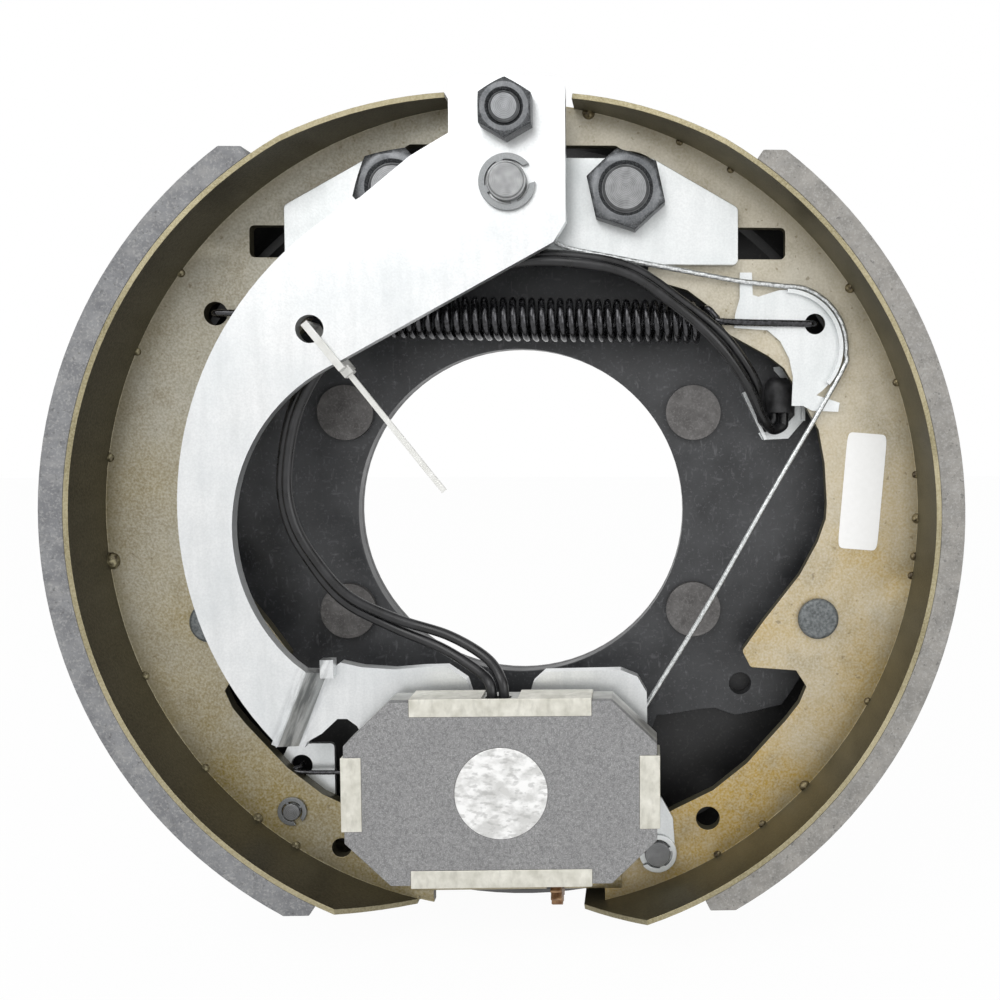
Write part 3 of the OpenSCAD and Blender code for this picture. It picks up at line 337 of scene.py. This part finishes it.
zinc = bright_zinc("bright_zinc_plate", "#ebeded", "#d6dada")[0]
eased("anchor_plate", "backing", zinc, 0.7, 3)
wear("cable_guide", zinc)
eased("adjuster_lever", "lever", zinc, 0.35)
eased("spring_plate", "primary", zinc, 0.35)
eased("lead_clip", "backing", zinc, 0.25)
eased("lever_pin_clip", "secondary", zinc, 0.2)
clip_grey = bright_zinc("grey_spring_clip", "#8d8f90", "#747677", 0.5)[0]
eased("pivot_clip", "backing", clip_grey, 0.2)
eased("primary_pin_clip", "primary", clip_grey, 0.2)
pin_ends = turned_end("turned_pin_ends", [(-0.0797, -0.1047), (0.0494, -0.1206)], "#5a5b5c", "#7c7d7e")
eased("primary_pin", "primary", pin_ends, 0.3)
eased("lever_pin", "secondary", pin_ends, 0.3)

# Shoes: a web stamped from 5 mm plate, spot welded inside a rolled table, with thin yellow
# passivated zinc on both. The table's inside is painted dark olive as painted shade and painted dark reflection, and
# the web is painted darker next to the table as painted shade.
WEB_R = 0.1418
TABLE_EDGE_R = 0.1416


def yellow_zinc(name, pale, golden, inside, inside_pale, low_gold):
    """Thin yellow passivate: pale, clouded and golden on the web, brassy at its edge; painted shade darkens the web
    next to the table, and faces not turned to the front get painted dark olive shade and reflection.
    """
    made, tree, shader, place = finish(name, pale, 0.55, 0.46)
    spot = place.outputs["Object"]
    axes = add(tree, "ShaderNodeSeparateXYZ", {0: spot})
    facing = add(tree, "ShaderNodeSeparateXYZ", {0: place.outputs["Normal"]})
    front = add(tree, "ShaderNodeMapRange",
                {"Value": times(tree, facing.outputs[1], -1.0), "From Min": 0.35, "From Max": 0.75}).outputs[0]
    out = times(tree, times(tree, times(tree, axes.outputs[0], 2.0, "POWER"),
                            times(tree, axes.outputs[2], 2.0, "POWER"), "ADD"), 0.5, "POWER")
    clouds = grain(tree, spot, 30, 5, 0.36, 0.66)
    patches = grain(tree, spot, 11, 5, 0.46, 0.7)
    fine = grain(tree, spot, 0.8, 4, 0.35, 0.68)
    dots = grain(tree, spot, 2.2, 2, 0.68, 0.74)
    low = add(tree, "ShaderNodeMapRange",
              {"Value": axes.outputs[2], "From Min": 0.09, "From Max": -0.09}).outputs[0]
    gold = times(tree, times(tree, times(tree, clouds, 0.5), 0.35, "ADD"), times(tree, times(tree, low, low_gold), 0.2, "ADD"))
    web = blend(tree, gold, pale, golden)
    web = blend(tree, times(tree, patches, 0.45), web, "#867b5e")
    web = blend(tree, times(tree, fine, 0.45), web, "#d6d1c4")
    web = blend(tree, times(tree, dots, 0.5), web, "#6b5b3c")
    # Painted shade: the web is darkened in a band next to the table, in the corner where the two meet.
    near = add(tree, "ShaderNodeMapRange",
               {"Value": out, "From Min": WEB_R - 0.006, "From Max": WEB_R - 0.0005}).outputs[0]
    web = blend(tree, times(tree, near, 0.45), web, "#6f6547")
    # Painted shade and painted dark reflection: faces not turned to the front, such as the table's inside, get dark
    # olive. It is darkest at the table's front edge and paler towards the web, with darker painted shade streaks.
    deep = add(tree, "ShaderNodeMapRange",
               {"Value": axes.outputs[1], "From Min": -0.0528, "From Max": -0.026}).outputs[0]
    painted_shade_streak = grain(tree, spot, 9, 4, 0.3, 0.7, (1, 0.25, 1))
    painted_shade_inner = blend(tree, times(tree, deep, 0.8), inside, inside_pale)
    painted_shade_inner = blend(tree, times(tree, painted_shade_streak, 0.4), painted_shade_inner, "#2c2a20")
    painted_shade_inner = blend(tree, times(tree, fine, 0.2), painted_shade_inner, "#8b856b")
    edge = blend(tree, clouds, "#a59b7c", "#7b7252")
    edge = blend(tree, times(tree, fine, 0.4), edge, "#cbc4a8")
    on_edge = add(tree, "ShaderNodeMapRange",
                  {"Value": out, "From Min": TABLE_EDGE_R, "From Max": TABLE_EDGE_R + 0.0003}).outputs[0]
    flat = blend(tree, on_edge, web, edge)
    tree.links.new(blend(tree, front, painted_shade_inner, flat), shader.inputs["Base Color"])
    bumped(tree, shader, times(tree, fine, patches, "ADD"), 0.06, 0.4)
    return made


# The third and fourth colours are the painted shade and painted reflection on faces not turned to the front.
left_zinc = yellow_zinc("yellow_zinc_left", "#a3a196", "#93803f", "#37332a", "#5c5746", 0.95)
right_zinc = yellow_zinc("yellow_zinc_right", "#bcb8ab", "#b3943f", "#4d4836", "#827c66", 1.2)
eased("primary_shoe", "primary", left_zinc, 0.3)
eased("secondary_shoe", "secondary", right_zinc, 0.3)


def closed_grid(name, points, ring, line, body, material):
    """One mesh from grids of points, shaped (pieces, along, across, 3); ring joins the last across to
    the first, line joins the last along to the first, and open ends get one flat face each. The piece
    rides on the body, or on none where it bends between two."""
    pieces, along, across = points.shape[:3]
    number = np.arange(pieces * along * across).reshape(pieces, along, across)
    right = np.roll(number, -1, axis=2) if ring else number[:, :, 1:]
    here = number if ring else number[:, :, :-1]
    up = (np.roll(number, -1, axis=1) if line else number[:, 1:])
    base = number if line else number[:, :-1]
    base_right = np.roll(base, -1, axis=2) if ring else base[:, :, 1:]
    up_right = np.roll(up, -1, axis=2) if ring else up[:, :, 1:]
    base, up = (base, up) if ring else (base[:, :, :-1], up[:, :, :-1])
    quads = np.stack([base, base_right, up_right, up], axis=-1).reshape(-1, 4)
    faces = quads.tolist()
    if ring and not line:
        faces += [row[::-1].tolist() for row in number[:, 0]] + [row.tolist() for row in number[:, -1]]
    mesh = bpy.data.meshes.new(name)
    mesh.from_pydata(points.reshape(-1, 3).tolist(), [], faces)
    work = bmesh.new()
    work.from_mesh(mesh)
    bmesh.ops.remove_doubles(work, verts=work.verts, dist=1e-7)
    bmesh.ops.recalc_face_normals(work, faces=work.faces)
    work.to_mesh(mesh)
    work.free()
    mesh.polygons.foreach_set("use_smooth", np.ones(len(mesh.polygons), bool))
    mesh.set_sharp_from_angle(angle=math.radians(50))
    mesh.materials.append(material)
    made = bpy.data.objects.new(name, mesh)
    bpy.context.scene.collection.objects.link(made)
    if body:
        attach(made, body)
    return made


def weld_beads(name, degrees, sizes_mm, tint, body):
    """Flattened balls on the corner of web and table: a sphere's two angles, pressed along Y."""
    steel, tree, shader, place = finish(name + "_steel", tint, 0.5, 0.42)
    burn = grain(tree, place.outputs["Object"], 1.6, 4, 0.35, 0.65)
    tree.links.new(blend(tree, burn, tint, "#3a3020"), shader.inputs["Base Color"])
    lon, lat = np.meshgrid(np.linspace(0, 2 * np.pi, 14, endpoint=False), np.linspace(0.02, np.pi - 0.02, 9))
    ball = np.stack([np.sin(lat) * np.cos(lon), np.cos(lat), np.sin(lat) * np.sin(lon)], axis=-1)
    ball *= (1 + 0.16 * np.sin(3 * lon + 1) * np.sin(2 * lat))[..., None]
    turn = np.radians(degrees)
    size = np.array(sizes_mm) / 1000
    centre = np.stack([(WEB_R - size * 0.25) * np.cos(turn), np.full(len(turn), -0.0258),
                       (WEB_R - size * 0.25) * np.sin(turn)], axis=-1)
    points = centre[:, None, None] + ball[None] * size[:, None, None, None] * np.array([1, 0.75, 1])
    return closed_grid(name, points, True, False, body, steel)


weld_beads("weld_beads_left", [143.7, 156.3, 171.7, 186.3, 203.3, 219.0, 229.4, 236.1],
           [1.5, 1.4, 1.6, 3.0, 1.5, 1.5, 1.9, 1.7], "#8d8669", "primary")
weld_beads("weld_beads_right", [79.4, 66.1, 58.0, 34.2, 19.2, 5.7, -0.6, -6.1, -8.9, -28.3, -43.7, -52.0, -59.9],
           [2.2, 1.3, 1.3, 1.8, 1.4, 1.3, 1.8, 1.5, 1.4, 1.4, 2.0, 1.5, 1.5], "#85795a", "secondary")

# Linings: blocks of moulded friction material, bonded to the tables and ground to the drum's radius.
# Fibres and metal chips give a mottled grey with short pale scratches.
def friction_block(name, dark, light):
    """Moulded friction material: grey mottle of two sizes, pale chips and dark pores."""
    made, tree, shader, place = finish(name, dark, 0.1, 0.68)
    spot = place.outputs["Object"]
    mottle = grain(tree, spot, 5.5, 6, 0.3, 0.7)
    chips = grain(tree, spot, 0.75, 3, 0.5, 0.68)
    pores = grain(tree, spot, 1.3, 3, 0.62, 0.72)
    drag = grain(tree, spot, 3.0, 4, 0.5, 0.72, (0.35, 1, 1.0))
    tone = blend(tree, mottle, dark, light)
    tone = blend(tree, times(tree, chips, 0.4), tone, "#b5b4b1")
    tone = blend(tree, times(tree, drag, 0.35), tone, "#a09f9d")
    tone = blend(tree, times(tree, pores, 0.55), tone, "#4a4a49")
    tree.links.new(tone, shader.inputs["Base Color"])
    bumped(tree, shader, times(tree, chips, mottle, "ADD"), 0.12, 0.5)
    return made


eased("primary_lining", "primary", friction_block("cool_grey_lining", "#6d6e71", "#87888a"), 0.35)
eased("secondary_lining", "secondary", friction_block("warm_grey_lining", "#7d7b77", "#989590"), 0.35)

# Label: a blank white paper sticker with rounded corners, pressed onto the right-hand web.
# Coated paper is bright, smooth and slightly soft at its rim.
LABEL_AT = (0.1219, 0.0081)
LABEL_HALF = (0.007, 0.0206)
LABEL_TURN = math.radians(-4.6)
label_paper, tree, shader, place = finish("coated_label_paper", "#f7f7f6", 0.0, 0.4)
fibre = grain(tree, place.outputs["Object"], 1.5, 4, 0.3, 0.7)
tree.links.new(blend(tree, times(tree, fibre, 0.3), "#fbfbfa", "#eeeeec"), shader.inputs["Base Color"])
angle = np.linspace(0, 2 * np.pi, 64, endpoint=False)
shape = np.stack([np.cos(angle), np.sin(angle)])
shape = np.sign(shape) * np.abs(shape) ** 0.16
flat_x, flat_z = LABEL_HALF[0] * shape[0], LABEL_HALF[1] * shape[1]
turn_x = LABEL_AT[0] + flat_x * math.cos(LABEL_TURN) - flat_z * math.sin(LABEL_TURN)
turn_z = LABEL_AT[1] + flat_x * math.sin(LABEL_TURN) + flat_z * math.cos(LABEL_TURN)
outline = np.stack([turn_x, np.zeros_like(turn_x), turn_z], axis=-1)
sticker = outline[None, None] + np.array([[0, -0.0258, 0], [0, -0.0261, 0]])[None, :, None]
sticker_piece = closed_grid("blank_sticker", sticker, True, False, "secondary", label_paper)
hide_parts("label")


# Springs: close-wound hard-drawn wire, blackened in oil. The long one pulls the webs together at the
# top, and the fine one pulls the left shoe and the lever together at the bottom.
def through(points, steps):
    """A smooth line through the points: each span is a cubic whose ends lean on the points beside it."""
    p = np.asarray(points, float)
    before = np.vstack([p[:1], p[:-1]])[:-1, None]
    here, after = p[:-1, None], p[1:, None]
    beyond = np.vstack([p[2:], p[-1:]])[:, None]
    u = (np.arange(steps) / steps)[None, :, None]
    line = 0.5 * (2 * here + (after - before) * u + (2 * before - 5 * here + 4 * after - beyond) * u ** 2
                  + (3 * here - before - 3 * after + beyond) * u ** 3)
    return np.vstack([line.reshape(-1, 3), p[-1:]])


def wire(path, radius, sides, beside):
    """A tube: each point of the path carries a circle across the path, started from the beside way."""
    run = np.gradient(path, axis=0)
    run /= np.linalg.norm(run, axis=1, keepdims=True)
    first = np.cross(run, np.broadcast_to(np.asarray(beside, float), run.shape))
    first /= np.linalg.norm(first, axis=1, keepdims=True)
    second = np.cross(run, first)
    around = np.linspace(0, 2 * np.pi, sides, endpoint=False)[None, :, None]
    radius = np.broadcast_to(np.asarray(radius, float), (len(path), sides))[..., None]
    return path[:, None] + radius * (np.cos(around) * first[:, None] + np.sin(around) * second[:, None])


def helix(x0, x1, y, z, radius, turns, steps):
    """Points of a coil about X, from x0 to x1, all in mm, and the way out from its axis at each."""
    u = np.linspace(0, 1, turns * steps + 1)
    a = 2 * np.pi * turns * u
    out = np.stack([np.zeros_like(a), np.cos(a), np.sin(a)], axis=-1)
    return np.stack([x0 + (x1 - x0) * u, y + radius * np.cos(a), z + radius * np.sin(a)], axis=-1), out


black_wire, tree, shader, place = finish("oil_black_spring_wire", "#18181a", 0.8, 0.24)
shader.inputs["Coat Weight"].default_value = 0.7
shader.inputs["Coat Roughness"].default_value = 0.12
drawn = grain(tree, place.outputs["Object"], 1.2, 4, 0.35, 0.7)
tree.links.new(blend(tree, drawn, "#18181a", "#47474b"), shader.inputs["Base Color"])
tree.links.new(add(tree, "ShaderNodeMapRange", {"Value": drawn, "To Min": 0.2, "To Max": 0.38}).outputs[0],
               shader.inputs["Roughness"])
RETRACT_Y, HOOK_Y = -24.5, -28.8
COIL_ENDS = (-61.5, 65.0)
SPRING_HOLES = ((-102.6, 70.0), (104.5, 66.8))
SPRING_FALL = (SPRING_HOLES[1][1] - SPRING_HOLES[0][1]) / (SPRING_HOLES[1][0] - SPRING_HOLES[0][0])
coil_path, coil_out = helix(COIL_ENDS[0] + 1, COIL_ENDS[1] - 1, RETRACT_Y, 0, 6.5, 38, 28)
coil_path[:, 2] += SPRING_HOLES[1][1] + SPRING_FALL * (coil_path[:, 0] - SPRING_HOLES[1][0])
coil_tube = wire(coil_path, 1.2, 10, coil_out)
retractor_coil = closed_grid("retractor_coil", coil_tube[None] / 1000, True, False, "primary", black_wire)
hooks = []
for side, end_x, (hole_x, hole_z) in zip((-1, 1), COIL_ENDS, SPRING_HOLES):
    end_z = hole_z + SPRING_FALL * (end_x - hole_x)
    hook = through([(end_x - side * 2.6, RETRACT_Y + 6.2, end_z + 2), (end_x - side * 1, RETRACT_Y + 3.4, end_z + 4.3),
                    (end_x + side * 2, RETRACT_Y - 3, end_z + 4.5), (end_x + side * 5, HOOK_Y + 1, end_z + 1.5),
                    (end_x + side * 8, HOOK_Y, end_z), (hole_x - side * 5, HOOK_Y, hole_z),
                    (hole_x - side * 1.5, HOOK_Y + 0.4, hole_z), (hole_x, HOOK_Y + 2.4, hole_z), (hole_x, -21.4, hole_z)], 8)
    hooks.append(wire(hook, 1.2, 12, (0, 0.13, 1)))
retractor_hooks = closed_grid("retractor_hooks", np.stack(hooks) / 1000, True, False, "primary", black_wire)
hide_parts("retractor_spring")
LOW_Y, LOW_Z = -24.0, -91.4
PLATE_HOLE = (-77.7, -89.9)
low_path, low_out = helix(-30, 4, LOW_Y, LOW_Z, 3.4, 12, 24)
lower_coil = closed_grid("lower_coil", wire(low_path, 0.8, 8, low_out)[None] / 1000, True, False, "primary", black_wire)
left_hook = through([(PLATE_HOLE[0], -17.8, PLATE_HOLE[1]), (PLATE_HOLE[0], -21.3, PLATE_HOLE[1]),
                     (PLATE_HOLE[0] + 1.5, LOW_Y, LOW_Z), (-33, LOW_Y, LOW_Z), (-31, -21.6, LOW_Z), (-30, -20.6, LOW_Z)], 8)
right_hook = through([(-2, LOW_Y, LOW_Z), (4, LOW_Y, LOW_Z), (9, LOW_Y, LOW_Z), (26, LOW_Y, LOW_Z), (27.8, -25, LOW_Z),
                      (28, -28.7, LOW_Z)], 8)
for name, hook, body in (("lower_hook_left", left_hook, "primary"), ("lower_hook_right", right_hook, "lever")):
    closed_grid(name, wire(hook, 0.8, 10, (0.1, 0.1, 1))[None] / 1000, True, False, body, black_wire)
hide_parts("lower_spring")

# Adjuster: turned steel barrels that push the shoes' lower ends apart, with yellow passivate, and the
# screw with its star wheel, brown from its heavier plating.
# The barrels' faces not turned to the front take the third and fourth colours as painted shade.
brass_zinc = yellow_zinc("yellow_zinc_barrels", "#a89c72", "#8f7a3f", "#8c7d4f", "#a3966c", 0.6)
eased("adjuster_nut", "backing", brass_zinc, 0.4)
eased("adjuster_socket", "backing", brass_zinc, 0.4)
star_brown, tree, shader, place = finish("brown_plated_star_wheel", "#8b6a4a", 0.6, 0.42)
cloud = grain(tree, place.outputs["Object"], 3, 4, 0.3, 0.7)
tree.links.new(blend(tree, cloud, "#6f4f34", "#b08f6c"), shader.inputs["Base Color"])
bumped(tree, shader, cloud, 0.1, 0.4)
eased("adjuster_screw", "star", star_brown, 0.2)

# Adjuster cable: six strands of bright galvanised wire laid round each other, 1.8 mm thick, from a
# crimped eye on the pivot post, round the guide's rim, to a hook in the lever.
rope_steel, tree, shader, place = finish("galvanised_wire_rope", "#c9cbcb", 0.85, 0.33)
glint = grain(tree, place.outputs["Object"], 0.8, 3, 0.35, 0.65)
tree.links.new(blend(tree, glint, "#aeb1b1", "#e4e6e6"), shader.inputs["Base Color"])
EYE_Y, CABLE_Y = -32.1, -28.3
GUIDE_AT, GROOVE_R = (94.0, 58.6), 21.4
bend = np.radians([95, 70, 45, 20, -5, -28])
round_guide = np.stack([GUIDE_AT[0] + GROOVE_R * np.cos(bend), np.full(6, CABLE_Y), GUIDE_AT[1] + GROOVE_R * np.sin(bend)], axis=-1)
cable_line = through(np.vstack([
    [(14.6, EYE_Y, 94.2), (19.5, EYE_Y, 91.8), (36, EYE_Y, 88.6), (49, EYE_Y + 0.1, 86.2), (57, EYE_Y + 0.7, 84.8),
     (66, CABLE_Y - 1.6, 83.3), (78, CABLE_Y - 0.2, 81.4)],
    round_guide,
    [(90, CABLE_Y + 0.6, 8.6), (66, CABLE_Y + 1, -34), (46, CABLE_Y + 1.1, -66.5), (37.8, -29.3, -79), (34, -29.3, -85.7)]]), 36)
# The strands' lay is 9 mm long; a groove runs between each two of the six.
length = np.concatenate([[0], np.cumsum(np.linalg.norm(np.diff(cable_line, axis=0), axis=1))])
around = np.linspace(0, 2 * np.pi, 24, endpoint=False)
strands = 0.9 - 0.16 * (1 - np.abs(np.sin(3 * (around[None] + 2 * np.pi * length[:, None] / 27.0)))) ** 2
cable_piece = closed_grid("strand_cable", wire(cable_line, strands, 24, (0.02, 1, 0))[None] / 1000, True, False,
                          None, rope_steel)
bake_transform(cable_piece)
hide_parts("adjuster_cable")
eased("cable_eye", "backing", zinc, 0.5)
eased("cable_hook", "lever", zinc, 0.3)

# Actuating arm: 5 mm steel plate, blanked, bent back at its lower end to carry the magnet, and bright
# zinc plated. Dark streaks painted along the lower bend are painted reflection and painted shade of the bend's curve.
arm_zinc, tree, shader, place, tone = bright_zinc("bright_zinc_arm", "#eff0f0", "#d9dcdd")
BEND_LEAN = math.atan2(10.2, 25.8)
along_bend = add(tree, "ShaderNodeMapping",
                 {"Vector": place.outputs["Object"], "Location": (0, 0, 0), "Rotation": (0, BEND_LEAN, 0)}, vector_type="TEXTURE")
bend_axes = add(tree, "ShaderNodeSeparateXYZ", {0: along_bend.outputs[0]})
BEND_X = -0.0792 * math.cos(BEND_LEAN) + 0.0768 * math.sin(BEND_LEAN)
from_bend = times(tree, bend_axes.outputs[0], BEND_X - 0.0005, "SUBTRACT")
band = add(tree, "ShaderNodeMapRange", {"Value": times(tree, from_bend, 0.003, "SUBTRACT"), "From Min": 0.0, "From Max": 0.0045}).outputs[0]
near_bend = times(tree, 1.0, add(tree, "ShaderNodeMapRange", {
    "Value": add(tree, "ShaderNodeMath", {0: times(tree, from_bend, 0.003, "SUBTRACT")}, operation="ABSOLUTE").outputs[0],
    "From Min": 0.001, "From Max": 0.006}).outputs[0], "SUBTRACT")
low_enough = add(tree, "ShaderNodeMapRange", {"Value": bend_axes.outputs[2], "From Min": -0.02, "From Max": -0.04}).outputs[0]
# Painted reflection: dark streaks along the lower bend stand for the darker surroundings that its curve reflects.
bend_reflection_streaks = grain(tree, along_bend.outputs[0], 2.6, 4, 0.42, 0.6, (1, 1, 0.18))
painted_bend_reflection = times(tree, times(tree, near_bend, low_enough), times(tree, bend_reflection_streaks, 0.75))
tree.links.new(blend(tree, painted_bend_reflection, tone, "#6f7273"), shader.inputs["Base Color"])
eased("actuating_arm", "arm", arm_zinc, 0.8, 3)
wear("cam_bush", pin_grey)

# Magnet: an iron shell with a sintered pole face, held by folded tinned clamps, and a ground core in
# its middle. The face is a dull grey with iron grains, and the core is bright and scratched.
sinter, tree, shader, place = finish("sintered_pole_face", "#8a8a8a", 0.35, 0.6)
grit = grain(tree, place.outputs["Object"], 0.9, 3, 0.3, 0.7)
fine = grain(tree, place.outputs["Object"], 0.45, 2, 0.5, 0.72)
wash = grain(tree, place.outputs["Object"], 18, 3, 0.3, 0.7)
tone = blend(tree, grit, "#777778", "#9a9a9a")
tone = blend(tree, times(tree, fine, 0.45), tone, "#c3c3c3")
tree.links.new(blend(tree, times(tree, wash, 0.25), tone, "#7b7b7c"), shader.inputs["Base Color"])
bumped(tree, shader, grit, 0.08, 0.4)
eased("magnet_face", "magnet", sinter, 0.35)
shell, tree, shader, place = finish("drawn_shell_steel", "#a5a5a2", 0.6, 0.45)
cloud = grain(tree, place.outputs["Object"], 7, 4, 0.3, 0.7)
tree.links.new(blend(tree, cloud, "#8f8f8c", "#c0c0bc"), shader.inputs["Base Color"])
eased("magnet_housing", "magnet", shell, 0.4)
tinned, tree, shader, place = finish("tinned_clamp_sheet", "#dcdace", 0.5, 0.42)
cloud = grain(tree, place.outputs["Object"], 5, 5, 0.3, 0.7)
rub = grain(tree, place.outputs["Object"], 2.4, 3, 0.5, 0.7, (1, 1, 0.4))
tone = blend(tree, cloud, "#c4c2b6", "#e6e4da")
tree.links.new(blend(tree, times(tree, rub, 0.4), tone, "#a9a79c"), shader.inputs["Base Color"])
bumped(tree, shader, cloud, 0.15, 0.4)
eased("magnet_clamps", "magnet", tinned, 0.25)
ground, tree, shader, place = finish("ground_core_steel", "#e3e3e1", 0.55, 0.34)
wide = grain(tree, place.outputs["Object"], 4.5, 6, 0.42, 0.6, (0.8, 1, 1.2), (0, 0.6, 0))
thin = grain(tree, place.outputs["Object"], 1.9, 5, 0.52, 0.62, (0.55, 1, 1.1), (0, -0.35, 0))
tone = blend(tree, wide, "#d3d3d1", "#f7f7f6")
tree.links.new(blend(tree, times(tree, thin, 0.5), tone, "#a3a3a1"), shader.inputs["Base Color"])
bumped(tree, shader, thin, 0.08, 0.5)
eased("magnet_core", "magnet", ground, 0.3)
winding, tree, shader, place = finish("enamelled_copper_winding", "#8a4a25", 0.8, 0.35)
bands = grain(tree, place.outputs["Object"], 0.7, 2, 0.4, 0.6, (1, 3, 1))
tree.links.new(blend(tree, bands, "#6a3216", "#b4693a"), shader.inputs["Base Color"])
wear("magnet_coil", winding)
wear("magnet_post", pin_grey)
# The magnet's own spring: three turns of black wire that narrow towards the magnet.
u = np.linspace(0, 1, 3 * 28 + 1)
a = 2 * np.pi * 3 * u
cone_r = 14 - 6 * u
CONE_BACK, CONE_FRONT, MAGNET_X, MAGNET_Z = -37.0, -40.6, -2.6, -89.8
cone = np.stack([MAGNET_X + cone_r * np.cos(a), CONE_BACK + (CONE_FRONT - CONE_BACK) * u, MAGNET_Z + cone_r * np.sin(a)], axis=-1)
cone_spring = closed_grid("cone_spring", wire(cone, 0.6, 8, (0, 1, 0))[None] / 1000, True, False, "arm", black_wire)
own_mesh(cone_spring)
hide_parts("magnet_spring")

# Magnet lead: two copper wires in black vinyl that leave the magnet's top, run behind the arm and into
# the rubber boot. Extruded vinyl is smooth with a long soft shine.
vinyl, tree, shader, place = finish("black_vinyl_insulation", "#151516", 0.0, 0.3)
smear = grain(tree, place.outputs["Object"], 6, 4, 0.35, 0.7)
tree.links.new(blend(tree, smear, "#101011", "#252527"), shader.inputs["Base Color"])
tree.links.new(add(tree, "ShaderNodeMapRange", {"Value": smear, "To Min": 0.24, "To Max": 0.42}).outputs[0],
               shader.inputs["Roughness"])
WIRE_Y, UNDER_Y, OVER_Y = -36.85, -34.25, -37.85
upper_wire = through([(-2, -49, -60.8), (-2.8, -48.8, -53.5), (-8.5, -43.5, -46.8), (-22, -38.5, -40), (-40, WIRE_Y + 0.2, -34.5),
                      (-56, WIRE_Y, -26.5), (-67, WIRE_Y, -14), (-74, WIRE_Y, -1), (-76, WIRE_Y, 14), (-72, WIRE_Y, 36),
                      (-61.5, WIRE_Y, 54.5), (-45, WIRE_Y, 71), (-22, WIRE_Y, 82), (0, WIRE_Y, 86), (17, OVER_Y, 86.6),
                      (38.5, OVER_Y, 83), (56.4, OVER_Y, 71.5), (70, -35.3, 59.6), (80.5, -29.4, 46), (86.4, -23, 35),
                      (90.6, -18, 30), (94.6, -15.6, 31), (95.2, -15.2, 33.6), (95.2, -15.2, 35.7)], 10)
lower_wire = through([(-6, -49, -60.8), (-6.6, -48.8, -54.8), (-11, -44.5, -51.2), (-24, -38.5, -44.5), (-42, UNDER_Y - 0.6, -37.5),
                      (-58.5, UNDER_Y, -28.5), (-69.5, UNDER_Y, -15), (-76.6, UNDER_Y, -1.5), (-78.6, UNDER_Y, 14.5),
                      (-74.3, UNDER_Y, 37.5), (-63.4, UNDER_Y, 56.4), (-46.3, UNDER_Y, 73.2), (-22.5, UNDER_Y, 84.5),
                      (0, UNDER_Y, 88.6), (17.5, OVER_Y + 2.6, 89.1), (40, OVER_Y + 2.6, 85.2), (58.3, OVER_Y + 2.6, 73.3),
                      (72.6, -32.6, 62), (83.2, -27, 48), (86, -19.8, 39.2), (87.2, -16.5, 33.6), (89.8, -13.4, 31.4),
                      (91.6, -13, 33.4), (91.6, -13, 35.7)], 10)
upper_lead = closed_grid("upper_lead_wire", wire(upper_wire, 1.75, 16, (0.05, 1, 0.03))[None] / 1000, True, False, None, vinyl)
lower_lead = closed_grid("lower_lead_wire", wire(lower_wire, 1.75, 16, (0.05, 1, 0.03))[None] / 1000, True, False, None, vinyl)
for lead, route, node in ((upper_lead, upper_wire, "lead_wire_long"), (lower_lead, lower_wire, "lead_wire_short")):
    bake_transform(lead)
    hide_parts(node)
boot_rubber, tree, shader, place = finish("black_rubber_boot", "#1b1b1c", 0.0, 0.55)
bloom = grain(tree, place.outputs["Object"], 2.5, 4, 0.35, 0.7)
tree.links.new(blend(tree, bloom, "#171718", "#313133"), shader.inputs["Base Color"])
bumped(tree, shader, bloom, 0.1, 0.4)
eased("grommet", "backing", boot_rubber, 0.8, 3)

# Cable tie: natural nylon, pulled tight round the arm and the lead through the arm's hole, with its
# long tail left on. Thin nylon lets light through and looks milky.
nylon, tree, shader, place = finish("natural_nylon", "#f4f4f1", 0.0, 0.35)
milk = grain(tree, place.outputs["Object"], 4, 3, 0.3, 0.7)
tree.links.new(blend(tree, milk, "#f7f7f4", "#e6e6e1"), shader.inputs["Base Color"])
shader.inputs["Transmission Weight"].default_value = 0.25
eased("cable_tie", "arm", nylon, 0.2)
